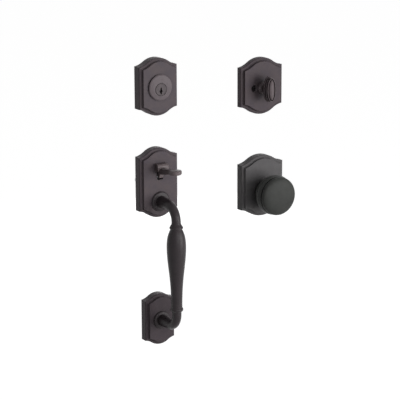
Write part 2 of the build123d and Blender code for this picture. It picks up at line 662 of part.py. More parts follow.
# Thumb piece, its pin, and the lift behind it
with BuildPart() as thumb_piece:
    with BuildSketch(Plane.YZ):
        with BuildLine():
            root = -HANDLE_DEPTH - 3
            tip = -PAD_DEPTH - PAD_RADIUS - 1
            middle = (root + tip) / 2
            top = Spline(
                (root, BLADE_ROOT_TOP - 0.6),
                (-SADDLE_FRONT, BLADE_ROOT_TOP),
                (middle, 0.35 * BLADE_ROOT_TOP + 0.65 * PAD_TOP),
                (tip, PAD_TOP),
            )
            end = Line(top @ 1, (tip, PAD_TOP - PAD_THICKNESS))
            under = Spline(
                end @ 1,
                (middle, 0.35 * (BLADE_ROOT_TOP - BLADE_ROOT_THICKNESS) + 0.65 * (PAD_TOP - PAD_THICKNESS)),
                (-SADDLE_FRONT, BLADE_ROOT_TOP - BLADE_ROOT_THICKNESS),
                (root, BLADE_ROOT_TOP - BLADE_ROOT_THICKNESS - 0.4),
            )
            Line(under @ 1, top @ 0)
        make_face()
    extrude(amount=PAD_RADIUS, both=True)
    with BuildSketch(Plane.XY.offset(LUG_LOW)):
        with BuildLine():
            flank = Line((BLADE_NECK_WIDTH / 2, -HANDLE_DEPTH), (BLADE_NECK_WIDTH / 2, -SADDLE_FRONT - 4))
            rim = ThreePointArc(
                (PAD_RADIUS * 0.96, -PAD_DEPTH + PAD_RADIUS * 0.28),
                (PAD_RADIUS * 0.707, -PAD_DEPTH - PAD_RADIUS * 0.707),
                (0, -PAD_DEPTH - PAD_RADIUS),
            )
            Spline(flank @ 1, rim @ 0, tangents=((0, -1), (0.28, -0.96)))
            mirror(about=Plane.YZ)
            Line((BLADE_NECK_WIDTH / 2, -HANDLE_DEPTH), (-BLADE_NECK_WIDTH / 2, -HANDLE_DEPTH))
        make_face()
    extrude(amount=SADDLE_HIGH, mode=Mode.INTERSECT)
    blade_back = thumb_piece.faces().sort_by(Axis.Y)[-1]
    fillet(thumb_piece.edges().filter_by(Axis.Z, reverse=True) - blade_back.edges(), BLADE_ROUND)
    with BuildSketch(Plane.YZ):
        with BuildLine():
            back = -HANDLE_DEPTH - RUNNING_GAP
            brow = Spline(
                (back - 1.6, SADDLE_HIGH),
                (-SADDLE_FRONT + 2.0, SADDLE_HIGH - 1.0),
                (-SADDLE_FRONT, SADDLE_HIGH - 4.2),
                tangents=((-1, 0), (-0.1, -1)),
            )
            Polyline(
                brow @ 1,
                (-SADDLE_FRONT, SADDLE_LOW + 1.0),
                (-SADDLE_FRONT + 3.0, SADDLE_LOW),
                (back, SADDLE_LOW),
                (back, SADDLE_HIGH),
                brow @ 0,
            )
        make_face()
    extrude(amount=SADDLE_WIDTH / 2, both=True)
    with BuildSketch(Plane.YZ):
        with Locations((-PIVOT_DEPTH, PIVOT_Z)):
            Circle(HUB_RADIUS)
        with BuildLine():
            Polyline(
                (-PIVOT_DEPTH, PIVOT_Z + HUB_RADIUS),
                (back, SADDLE_LOW + 3.0),
                (back - 4.0, SADDLE_LOW + 3.0),
                (-LUG_FRONT - 1.5, SADDLE_LOW - 3.0),
                (-LUG_FRONT, LUG_LOW + 1.0),
                (-LUG_FRONT + 1.0, LUG_LOW),
                (-HANDLE_DEPTH + 1.0, LUG_LOW),
                (-PIVOT_DEPTH, PIVOT_Z - HUB_RADIUS),
                close=True,
            )
        make_face()
    extrude(amount=LUG_WIDTH / 2, both=True)
    with BuildSketch(Plane.YZ):
        with Locations((-PIVOT_DEPTH, PIVOT_Z)):
            Circle(HUB_RADIUS)
    extrude(amount=HUB_WIDTH / 2, both=True)
    with BuildSketch(Plane.YZ):
        with Locations((-NOSE_DEPTH, PIVOT_Z)):
            Circle(NOSE_RADIUS)
        with Locations((-(NOSE_DEPTH + PIVOT_DEPTH) / 2, PIVOT_Z)):
            Rectangle(PIVOT_DEPTH - NOSE_DEPTH, 2 * TAIL_HALF_THICKNESS)
    extrude(amount=NOSE_WIDTH / 2, both=True)
    with BuildSketch(Plane.YZ):
        with Locations((-PIVOT_DEPTH, PIVOT_Z)):
            Circle(PIVOT_RADIUS + RUNNING_GAP)
    extrude(amount=HUB_WIDTH, both=True, mode=Mode.SUBTRACT)
keep(thumb_piece.part, "thumb_piece")

with BuildPart() as pivot_pin:
    with BuildSketch(Plane.YZ):
        with Locations((-PIVOT_DEPTH, PIVOT_Z)):
            Circle(PIVOT_RADIUS)
    extrude(amount=SLOT_WIDTH / 2 + PIVOT_LUG_WIDTH, both=True)
keep(pivot_pin.part, "pivot_pin")

slide_center = (SLIDE_LEFT + SLIDE_RIGHT) / 2
with BuildPart() as lift_slide:
    with BuildSketch(facing(0, 0, SLIDE_REAR)):
        with Locations((slide_center, (SLIDE_LOW + SLIDE_HIGH) / 2)):
            RectangleRounded(SLIDE_RIGHT - SLIDE_LEFT, SLIDE_HIGH - SLIDE_LOW, 1.0)
        with Locations((0, PIVOT_Z)):
            Rectangle(NOSE_WIDTH + 1.0, 2 * NOSE_RADIUS + 3 * RUNNING_GAP, mode=Mode.SUBTRACT)
        with Locations((-CRANK_RADIUS + 0.3, 0)):
            Rectangle(4.4, 2 * CRANK_PIN_RADIUS + 3 * RUNNING_GAP, mode=Mode.SUBTRACT)
    extrude(amount=SLIDE_THICKNESS)
keep(lift_slide.part, "lift_slide")

with BuildPart() as latch_driver:
    with BuildSketch(facing(0, 0, CRANK_DISC_REAR)):
        Circle(CRANK_DISC_RADIUS)
    extrude(amount=CRANK_DISC_THICKNESS)
    with BuildSketch(facing(-CRANK_RADIUS, 0, CRANK_DISC_REAR)):
        Circle(CRANK_PIN_RADIUS)
    extrude(amount=SLIDE_REAR + SLIDE_THICKNESS - CRANK_DISC_REAR)
    with BuildSketch(facing(0, 0, -2 * CLIP_THICKNESS)):
        Circle(DRIVER_JOURNAL_RADIUS)
    extrude(amount=CRANK_DISC_REAR + 2 * CLIP_THICKNESS)
    with BuildSketch(facing(0, 0, -SPINDLE_REACH)):
        Circle(SPINDLE_RADIUS)
        with Locations((0, -SPINDLE_RADIUS - 0.2)):
            Rectangle(2 * SPINDLE_RADIUS, 2 * SPINDLE_RADIUS, mode=Mode.SUBTRACT)
    extrude(amount=SPINDLE_REACH)
    with BuildSketch(facing(0, 0, PLATE_GAP - RUNNING_GAP)):
        Circle(DRIVER_JOURNAL_RADIUS)
        Circle(DRIVER_JOURNAL_RADIUS - CLIP_THICKNESS / 2, mode=Mode.SUBTRACT)
    extrude(amount=-CLIP_THICKNESS, mode=Mode.SUBTRACT)
keep(latch_driver.part, "latch_driver")

clip_depth = PLATE_GAP - RUNNING_GAP - CLIP_THICKNESS
clip_inner = DRIVER_JOURNAL_RADIUS - CLIP_THICKNESS / 2
driver_clip = band(0, 0, clip_depth, CLIP_THICKNESS, clip_inner, 6.4, CLIP_GAP_ANGLE)
keep(driver_clip, "driver_clip")

with BuildPart() as lift_spring:
    with BuildLine():
        Helix(SPRING_LENGTH / SPRING_TURNS, SPRING_LENGTH, SPRING_RADIUS)
    with BuildSketch(Plane(origin=(SPRING_RADIUS, 0, 0), z_dir=(0, 1, 0))):
        Circle(SPRING_WIRE)
    sweep(is_frenet=True)
spring_depth = SLIDE_REAR + SLIDE_THICKNESS / 2 + 1.6
spring_place = Location((slide_center, -spring_depth, SLIDE_HIGH + SPRING_WIRE))
keep(spring_place * lift_spring.part, "lift_spring")

# Grip
upper_turn = GRIP_TOP_Z - UPPER_ELBOW
lower_turn = GRIP_BOTTOM_Z + LOWER_ELBOW
with BuildPart() as grip:
    with BuildSketch(Plane.YZ):
        with BuildLine():
            axis_y = -GRIP_DEPTH
            vase = Spline(
                (axis_y + GROOVE_RADIUS, THROAT_Z),
                (axis_y + SHOULDER_RADIUS, SHOULDER_Z),
                (axis_y + BELLY_RADIUS, BELLY_Z),
                (axis_y + WAIST_RADIUS, WAIST_Z),
                (axis_y + TAPER_RADIUS, TAPER_Z),
                (axis_y + TAPER_RADIUS, LOWER_BEAD_Z + BEAD_HALF_HEIGHT),
            )
            bead = ThreePointArc(
                vase @ 1,
                (axis_y + BEAD_RADIUS, LOWER_BEAD_Z),
                (axis_y + TAPER_RADIUS - 0.4, LOWER_BEAD_Z - BEAD_HALF_HEIGHT),
            )
            core = Polyline(
                bead @ 1,
                (axis_y + NECK_RADIUS, LOWER_BEAD_Z - BEAD_HALF_HEIGHT - 1.2),
                (axis_y + NECK_RADIUS, lower_turn),
                (axis_y, lower_turn),
                (axis_y, upper_turn),
                (axis_y + NECK_RADIUS, upper_turn),
                (axis_y + NECK_RADIUS, BELL_TOP_Z - 1.0),
            )
            bell = Spline(
                core @ 1,
                (axis_y + 0.45 * NECK_RADIUS + 0.55 * BELL_RADIUS, 0.4 * BELL_TOP_Z + 0.6 * BELL_BOTTOM_Z),
                (axis_y + BELL_RADIUS, BELL_BOTTOM_Z),
                tangents=((0.2, -1), (0.2, -1)),
            )
            Polyline(
                bell @ 1,
                (axis_y + BELL_RADIUS - 0.4, BELL_BOTTOM_Z - 0.7),
                (axis_y + GROOVE_RADIUS, BELL_BOTTOM_Z - 1.0),
                vase @ 0,
            )
        make_face()
    revolve(axis=Axis((0, -GRIP_DEPTH, 0), (0, 0, 1)))
    ends = (
        (GRIP_TOP_Z, UPPER_ELBOW, upper_turn, FOOT_RADIUS),
        (GRIP_BOTTOM_Z, LOWER_ELBOW, lower_turn, LOWER_FOOT_RADIUS),
    )
    for level, radius, end, flange in ends:
        bend = -GRIP_DEPTH + radius
        with BuildLine(Plane.YZ) as spine:
            out = Line((-HANDLE_DEPTH, level), (bend, level))
            ThreePointArc(
                (bend, level),
                (bend - radius * sin(pi / 4), level + (end - level) * (1 - cos(pi / 4))),
                (-GRIP_DEPTH, end),
            )
        with BuildSketch(facing(0, level, HANDLE_DEPTH)):
            Circle(FOOT_NECK_RADIUS)
        with BuildSketch(facing(0, level, -bend)):
            Circle(NECK_RADIUS + 0.6)
        with BuildSketch(Plane(origin=(0, -GRIP_DEPTH, end), x_dir=(1, 0, 0), z_dir=(0, 0, end - level))):
            Circle(NECK_RADIUS)
        sweep(path=spine.line, multisection=True)
        with BuildSketch(lathe(0, level)):
            with BuildLine():
                edge = Polyline(
                    (0, -HANDLE_DEPTH),
                    (flange, -HANDLE_DEPTH),
                    (flange, -HANDLE_DEPTH - FOOT_THICKNESS * 0.5),
                )
                dome = ThreePointArc(
                    edge @ 1,
                    (flange - 1.0, -HANDLE_DEPTH - FOOT_THICKNESS * 0.85),
                    (flange - 2.8, -HANDLE_DEPTH - FOOT_THICKNESS),
                )
                Polyline(dome @ 1, (0, -HANDLE_DEPTH - FOOT_THICKNESS - 1.0), edge @ 0)
            make_face()
        revolve(axis=door_axis(0, level))
        with BuildSketch(facing(0, level, HANDLE_DEPTH)):
            Circle(POST_SHANK_RADIUS)
        extrude(amount=GRIP_SCREW_LENGTH, mode=Mode.SUBTRACT)
keep(grip.part, "grip")

with BuildPart() as grip_screw:
    with BuildSketch(facing(0, GRIP_TOP_Z, panel_back)):
        Circle(POST_SHANK_RADIUS)
    extrude(amount=HANDLE_DEPTH - panel_back + GRIP_SCREW_LENGTH - 1.0)
    with BuildSketch(facing(0, GRIP_TOP_Z, panel_back)):
        Circle(GRIP_SCREW_HEAD_RADIUS)
    extrude(amount=-GRIP_SCREW_HEAD)
    with BuildSketch(facing(0, GRIP_TOP_Z, panel_back - GRIP_SCREW_HEAD)):
        RegularPolygon(POST_SHANK_RADIUS, 6)
    extrude(amount=2.0, mode=Mode.SUBTRACT)
keep(grip_screw.part, "grip_screw")

# Lower rose
lower_outline = arched_face(LOWER_WIDTH, LOWER_CORNER_HEIGHT, LOWER_RISE)
lower_steps = [(LOWER_SLAB, 0), (LOWER_PANEL, LOWER_INSET)]
lower_blank = arched_rose(0, GRIP_BOTTOM_Z, lower_outline, lower_steps)
lower_panel_back = LOWER_DEPTH - WALL
with BuildPart() as lower_rose:
    add(lower_blank)
    with BuildSketch(facing(0, GRIP_BOTTOM_Z)):
        Circle(POST_SHANK_RADIUS + LOOSE_GAP)
    extrude(amount=LOWER_DEPTH, mode=Mode.SUBTRACT)
keep(lower_rose.part, "lower_rose")

with BuildPart() as lower_post:
    with BuildSketch(lathe(0, GRIP_BOTTOM_Z)):
        with BuildLine():
            Polyline(
                (0, -LOWER_DEPTH - GRIP_SCREW_LENGTH + 1.0),
                (POST_SHANK_RADIUS, -LOWER_DEPTH - GRIP_SCREW_LENGTH + 1.0),
                (POST_SHANK_RADIUS, -lower_panel_back),
                (LOWER_POST_FLANGE, -lower_panel_back),
                (LOWER_POST_FLANGE, GRIP_SCREW_HEAD - lower_panel_back),
                (POST_RADIUS, GRIP_SCREW_HEAD - lower_panel_back),
                (POST_RADIUS, LOWER_POST_REACH),
                (SCREW_RADIUS, LOWER_POST_REACH),
                (SCREW_RADIUS, LOWER_POST_REACH - POST_BORE_DEPTH),
                (0, LOWER_POST_REACH - POST_BORE_DEPTH),
                close=True,
            )
        make_face()
    revolve(axis=door_axis(0, GRIP_BOTTOM_Z))
keep(lower_post.part, "lower_post")

# Knob trim
knob_plate_z = KNOB_Z + KNOB_DROP
knob_outline = arched_face(KNOB_WIDTH, KNOB_CORNER_HEIGHT, KNOB_RISE)
knob_blank = arched_rose(INSIDE_X, knob_plate_z, knob_outline, [(KNOB_SLAB, 0), (KNOB_PANEL, KNOB_INSET)])
with BuildPart() as knob_rose:
    add(knob_blank)
    with BuildSketch(facing(INSIDE_X, KNOB_Z)):
        Circle(SHANK_RADIUS + RUNNING_GAP)
    extrude(amount=KNOB_DEPTH, mode=Mode.SUBTRACT)
keep(knob_rose.part, "knob_rose")

knob_plate_front = PLATE_GAP + KNOB_PLATE_THICKNESS
with BuildPart() as knob_mounting_plate:
    with BuildSketch(facing(INSIDE_X, knob_plate_z, PLATE_GAP)):
        add(knob_outline)
        offset(amount=-WALL, kind=Kind.INTERSECTION)
        with Locations((0, -KNOB_DROP)):
            Circle(SHANK_RADIUS + RUNNING_GAP, mode=Mode.SUBTRACT)
    extrude(amount=KNOB_PLATE_THICKNESS)
    with Locations(facing(INSIDE_X, KNOB_Z, knob_plate_front)):
        with Locations((-KNOB_SCREW_SPACING / 2, 0), (KNOB_SCREW_SPACING / 2, 0)):
            CounterSinkHole(SCREW_RADIUS + 0.2, SCREW_HEAD_RADIUS - 1.0, KNOB_PLATE_THICKNESS, 90)
keep(knob_mounting_plate.part, "knob_mounting_plate")

knob_screw_places = [
    (INSIDE_X - KNOB_SCREW_SPACING / 2, KNOB_Z),
    (INSIDE_X + KNOB_SCREW_SPACING / 2, KNOB_Z),
]
keep(machine_screws(knob_screw_places, knob_plate_front + 1.0, SCREW_REACH), "knob_screws")

with BuildPart() as knob:
    with BuildSketch(lathe(INSIDE_X, KNOB_Z)):
        with BuildLine():
            stem = Polyline(
                (KNOB_SPINDLE_RADIUS, SHANK_REAR),
                (SHANK_RADIUS, SHANK_REAR),
                (SHANK_RADIUS, -KNOB_BACK_DEPTH + 2.0),
            )
            bowl = Spline(
                stem @ 1,
                (KNOB_RADIUS * 0.74, -KNOB_BACK_DEPTH - 6.0),
                (KNOB_RADIUS - 1.6, -KNOB_RIM_DEPTH + 5.0),
                (KNOB_RADIUS, -KNOB_RIM_DEPTH),
                (KNOB_RADIUS - 0.9, -KNOB_SEAM_DEPTH),
                tangents=((0.2, -1), (-0.3, -1)),
            )
            seam = Polyline(
                bowl @ 1,
                (KNOB_RADIUS - 0.9 - KNOB_SEAM, -KNOB_SEAM_DEPTH - 0.2),
                (KNOB_RADIUS - 0.9 - KNOB_SEAM, -KNOB_SEAM_DEPTH - 1.2),
                (KNOB_RADIUS - 1.2, -KNOB_SEAM_DEPTH - 1.5),
            )
            crown = Spline(
                seam @ 1,
                (KNOB_RADIUS - 4.0, -KNOB_SEAM_DEPTH - 5.4),
                (KNOB_RADIUS * 0.55, -KNOB_FRONT + 1.7),
                (0, -KNOB_FRONT),
                tangents=((-0.1, -1), (-1, 0)),
            )
            face_back = Spline(
                (0, -KNOB_FRONT + KNOB_SHELL),
                (KNOB_RADIUS * 0.5, -KNOB_FRONT + KNOB_SHELL + 2.2),
                (KNOB_RADIUS - 6.6, -KNOB_SEAM_DEPTH - 3.2),
                (KNOB_RADIUS - KNOB_SHELL - 1.0, -KNOB_SEAM_DEPTH + 3.0),
            )
            bowl_back = Spline(
                face_back @ 1,
                (KNOB_RADIUS - KNOB_SHELL - 1.2, -KNOB_RIM_DEPTH + 3.0),
                (KNOB_RADIUS * 0.72, -KNOB_BACK_DEPTH - 10.0),
                (SHANK_RADIUS, -KNOB_BACK_DEPTH - 4.0),
            )
            Polyline(
                bowl_back @ 1,
                (KNOB_SPINDLE_RADIUS, -KNOB_BACK_DEPTH - 4.0),
                stem @ 0,
            )
            Line(crown @ 1, face_back @ 0)
        make_face()
    revolve(axis=door_axis(INSIDE_X, KNOB_Z))
    with BuildSketch(facing(INSIDE_X, KNOB_Z, PLATE_GAP - RUNNING_GAP)):
        Circle(SHANK_RADIUS)
        Circle(SHANK_RADIUS - CLIP_THICKNESS, mode=Mode.SUBTRACT)
    extrude(amount=-CLIP_THICKNESS, mode=Mode.SUBTRACT)
keep(knob.part, "knob")

clip_depth = PLATE_GAP - RUNNING_GAP - CLIP_THICKNESS
knob_clip = band(
    INSIDE_X,
    KNOB_Z,
    clip_depth,
    CLIP_THICKNESS,
    SHANK_RADIUS - CLIP_THICKNESS,
    SHANK_RADIUS + 2 * CLIP_THICKNESS,
    CLIP_GAP_ANGLE,
)
keep(knob_clip, "knob_clip")

with BuildPart() as knob_spindle:
    with BuildSketch(facing(INSIDE_X, KNOB_Z, KNOB_BACK_DEPTH + 4.0)):
        Circle(KNOB_SPINDLE_RADIUS)
        Rectangle(POST_RADIUS, POST_RADIUS, mode=Mode.SUBTRACT)
    extrude(amount=-KNOB_SPINDLE_REACH - KNOB_BACK_DEPTH - 4.0)
keep(knob_spindle.part, "knob_spindle")

with BuildPart() as return_spring:
    with BuildLine():
        Helix(RETURN_PITCH, RETURN_PITCH * RETURN_TURNS, RETURN_COIL_RADIUS)
    with BuildSketch(Plane(origin=(RETURN_COIL_RADIUS, 0, 0), z_dir=(0, 1, 0))):
        Circle(RETURN_WIRE)
    sweep(is_frenet=True)
spring_depth = KNOB_DEPTH - WALL - RETURN_WIRE - RETURN_PITCH * RETURN_TURNS
spring_place = Location((INSIDE_X, -spring_depth, KNOB_Z), (90, 0, 0))
keep(spring_place * return_spring.part, "return_spring")

for piece in pieces:
    print(piece.label, round(piece.volume, 1), len(piece.solids()), piece.is_valid)
os.makedirs("parts", exist_ok=True)
for piece in pieces:
    export_step(piece, f"parts/{piece.label}.step")
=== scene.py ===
"""Looks of the entry door handleset: camera, light, finishes and the pieces that need finer shapes.

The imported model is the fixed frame. Its castings keep their solids and get their finishes here. The
turn, the knob, the machine screws and the springs are made anew, and pin springs and a ring are added.
"""

import logging
import math
from dataclasses import dataclass, field
from enum import Enum
from typing import Any, Mapping, Sequence

import bmesh
import bpy
from bpy.types import ID, Material, Mesh, Node, NodeSocket, NodeTree, Object
from mathutils import Matrix, Vector


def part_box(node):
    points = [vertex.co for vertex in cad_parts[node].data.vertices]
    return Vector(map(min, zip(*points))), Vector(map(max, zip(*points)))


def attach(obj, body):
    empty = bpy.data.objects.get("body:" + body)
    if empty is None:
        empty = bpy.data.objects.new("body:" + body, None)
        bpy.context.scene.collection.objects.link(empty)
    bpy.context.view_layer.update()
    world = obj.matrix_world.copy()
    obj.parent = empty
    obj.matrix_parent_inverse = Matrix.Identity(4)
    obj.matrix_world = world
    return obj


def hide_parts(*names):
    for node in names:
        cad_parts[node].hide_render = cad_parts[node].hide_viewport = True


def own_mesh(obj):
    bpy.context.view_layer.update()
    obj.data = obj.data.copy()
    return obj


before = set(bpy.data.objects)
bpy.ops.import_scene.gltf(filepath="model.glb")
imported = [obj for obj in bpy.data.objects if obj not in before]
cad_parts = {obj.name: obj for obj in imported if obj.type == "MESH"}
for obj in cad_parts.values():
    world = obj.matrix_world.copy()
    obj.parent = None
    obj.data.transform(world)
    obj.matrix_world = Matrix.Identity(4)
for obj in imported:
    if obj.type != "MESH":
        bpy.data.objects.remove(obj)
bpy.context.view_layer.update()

MM = 0.001
SHARP_ANGLE = math.radians(32.0)
WELD_DISTANCE = 0.001 * MM
# At a scale of one the Wave Texture draws a band every 0.314 m.
WAVE_BAND = 0.314
WHITE = "#ffffff"
MATH = "ShaderNodeMath"
RANGE_INPUTS = ("Value", "From Min", "From Max", "To Min", "To Max")

logging.basicConfig(level=logging.INFO, format="%(message)s")
log = logging.getLogger("handleset")


class Projection(Enum):
    """How a pattern meets a surface: blotches in the bulk, or lines left by a tool."""

    CLOUD = "cloud"
    LATHE = "lathe"


def linear(colour: str) -> tuple[float, float, float, float]:
    """Turns an sRGB hex colour into the linear colour that a shader takes.

    Args:
        colour: The colour as written, such as "#4b4548".

    Returns:
        Red, green, blue and alpha.
    """
    channels = [int(colour[i : i + 2], 16) / 255 for i in (1, 3, 5)]
    curve = [c / 12.92 if c <= 0.04045 else ((c + 0.055) / 1.055) ** 2.4 for c in channels]
    return (curve[0], curve[1], curve[2], 1.0)


def add_node(
    tree: NodeTree, kind: str, inputs: Mapping[Any, Any] | None = None, **settings: Any
) -> Node:
    """Adds a node with its settings, its values and its links.

    Args:
        tree: The node tree that gets the node.
        kind: The node's bl_idname.
        inputs: For each input, by name or index, a value, the socket that feeds it, or the node
            whose first output in use feeds it.
        **settings: The node's own properties.

    Returns:
        The new node.
    """
    node = tree.nodes.new(kind)
    for name, value in settings.items():
        setattr(node, name, value)
    for name, value in (inputs or {}).items():
        if isinstance(value, Node):
            value = next(socket for socket in value.outputs if socket.enabled)
        if isinstance(value, NodeSocket):
            tree.links.new(value, node.inputs[name])
        else:
            node.inputs[name].default_value = value
    return node


def empty_material(name: str) -> tuple[Material, NodeTree]:
    """Makes a material with an empty node tree.

    Args:
        name: The material's name.

    Returns:
        The material and its tree.
    """
    material = bpy.data.materials.new(name)
    material.use_nodes = True
    material.node_tree.nodes.clear()
    return material, material.node_tree


@dataclass(frozen=True)
class BronzeLacquer:
    """Dark bronze lacquer on a die casting: satin and a little cloudy, with painted shade and painted
    shadow.

    The lacquer is thin, so it stays matt. Its coves get a near-black painted shade, which also stands for
    lacquer pooling there; pieces near other pieces get a painted shadow; and handling rubs the raised
    edges a shade lighter and warmer.
    """

    name: str
    ground: str
    cloud: str
    pooled_and_shaded: str
    rubbed: str
    roughness: float = 0.46
    unevenness: float = 0.05
    specular: float = 0.14
    relief: float = 0.12
    relief_mm: float = 0.04
    cloud_mm: float = 14.0
    grain_mm: float = 0.45
    cove_mm: float = 5.0
    edge_mm: float = 0.7
    shadow_reach_mm: float = 26.0
    painted_shadow_tone: float = 0.45
    # Detail and roughness of each noise, and the part of each pattern's range that counts.
    cloud_noise: tuple[float, float] = (4.0, 0.6)
    grain_noise: tuple[float, float] = (3.0, 0.65)
    cloud_range: tuple[float, float] = (0.35, 0.65)
    grain_range: tuple[float, float] = (0.3, 0.7)
    cove_range: tuple[float, float] = (0.40, 0.92)
    painted_shadow_range: tuple[float, float] = (0.40, 0.95)
    wear_slope: float = -1.6
    wear_limit: float = 1.05

    def build(self) -> Material:
        """Makes the material.

        Returns:
            The material, the same at every run.
        """
        material, tree = empty_material(self.name)
        at = add_node(tree, "ShaderNodeTexCoord").outputs["Object"]
        # The lacquer's own grain is near 0.1 mm, too fine for the render, so it is drawn coarser.
        noises = ((self.cloud_mm, self.cloud_noise), (self.grain_mm, self.grain_noise))
        blotches = (
            {"Vector": at, "Scale": 1 / (size * MM), "Detail": detail, "Roughness": rough}
            for size, (detail, rough) in noises
        )
        cloud, grain = (add_node(tree, "ShaderNodeTexNoise", inputs) for inputs in blotches)
        occlusions = (
            (self.cove_mm, {"samples": 8, "only_local": True}),
            (self.shadow_reach_mm, {"samples": 12}),
            (self.edge_mm, {"samples": 8, "only_local": True, "inside": True}),
        )
        cove, contact_shadow, ridge = (
            add_node(tree, "ShaderNodeAmbientOcclusion", {"Distance": size * MM}, **kind).outputs["AO"]
            for size, kind in occlusions
        )
        # Painted shadow: the colour darkens where other pieces stand near, such as under the turn, the
        # hood and the knob.
        ranges = (
            (cloud, *self.cloud_range, 0.0, 1.0),
            (cove, *self.cove_range, 1.0, 0.0),
            (contact_shadow, *self.painted_shadow_range, self.painted_shadow_tone, 1.0),
            (grain, *self.grain_range, self.roughness - self.unevenness, self.roughness + self.unevenness),
        )
        cloudy, cove_shaded, shadowed, satin = (
            add_node(tree, "ShaderNodeMapRange", dict(zip(RANGE_INPUTS, values))) for values in ranges
        )
        raised = {0: ridge, 1: self.wear_slope, 2: self.wear_limit}
        worn = add_node(tree, MATH, raised, operation="MULTIPLY_ADD")
        patchy = add_node(tree, MATH, {0: worn, 1: cloud}, operation="MULTIPLY", use_clamp=True)
        # Painted shade: the near-black pooled colour goes where the short occlusion finds a cove, for
        # shade there as well as for lacquer pooling.
        colour: Any = linear(self.ground)
        for share, tone in ((cloudy, self.cloud), (cove_shaded, self.pooled_and_shaded), (patchy, self.rubbed)):
            tones = {"Factor": share, "A": colour, "B": linear(tone)}
            colour = add_node(tree, "ShaderNodeMix", tones, data_type="RGBA")
        # Painted shadow: the colour is scaled down where the long occlusion finds other pieces near.
        toned = add_node(tree, "ShaderNodeVectorMath", {0: colour, "Scale": shadowed}, operation="SCALE")
        bumps = {"Height": grain, "Strength": self.relief, "Distance": self.relief_mm * MM}
        relief = add_node(tree, "ShaderNodeBump", bumps)
        film = {"Base Color": toned, "Roughness": satin, "Specular IOR Level": self.specular}
        shader = add_node(tree, "ShaderNodeBsdfPrincipled", {**film, "Normal": relief})
        add_node(tree, "ShaderNodeOutputMaterial", {"Surface": shader})
        return material


@dataclass(frozen=True)
class BareMetal:
    """A plain metal: zinc plated steel, drawn spring wire or turned brass.

    Plating leaves faint cloudy crystals, and turning or drawing leaves fine rings along the axis.
    """

    name: str
    bright: str
    dull: str
    roughness: float
    projection: Projection
    pitch_mm: float
    unevenness: float = 0.06
    relief: float = 0.1
    relief_mm: float = 0.03
    wander: float = 1.2

    def build(self) -> Material:
        """Makes the material.

        Returns:
            The material, the same at every run.
        """
        material, tree = empty_material(self.name)
        at = add_node(tree, "ShaderNodeTexCoord").outputs["Object"]
        pitch = self.pitch_mm * MM
        if self.projection is Projection.CLOUD:
            crystals = add_node(tree, "ShaderNodeTexVoronoi", {"Vector": at, "Scale": 1 / pitch})
            pattern = crystals.outputs["Distance"]
        else:
            # The rings stand across the door axis, as a lathe or a die leaves them.
            wave = {"Vector": at, "Scale": WAVE_BAND / pitch, "Distortion": self.wander}
            pattern = add_node(tree, "ShaderNodeTexWave", wave, bands_direction="Y").outputs["Fac"]
        tones = {"Factor": pattern, "A": linear(self.dull), "B": linear(self.bright)}
        tint = add_node(tree, "ShaderNodeMix", tones, data_type="RGBA")
        limits = (0.0, 1.0, self.roughness - self.unevenness, self.roughness + self.unevenness)
        satin = add_node(tree, "ShaderNodeMapRange", dict(zip(RANGE_INPUTS, (pattern, *limits))))
        bumps = {"Height": pattern, "Strength": self.relief, "Distance": self.relief_mm * MM}
        relief = add_node(tree, "ShaderNodeBump", bumps)
        metal = {"Base Color": tint, "Roughness": satin, "Metallic": 1.0, "Normal": relief}
        shader = add_node(tree, "ShaderNodeBsdfPrincipled", metal)
        add_node(tree, "ShaderNodeOutputMaterial", {"Surface": shader})
        return material


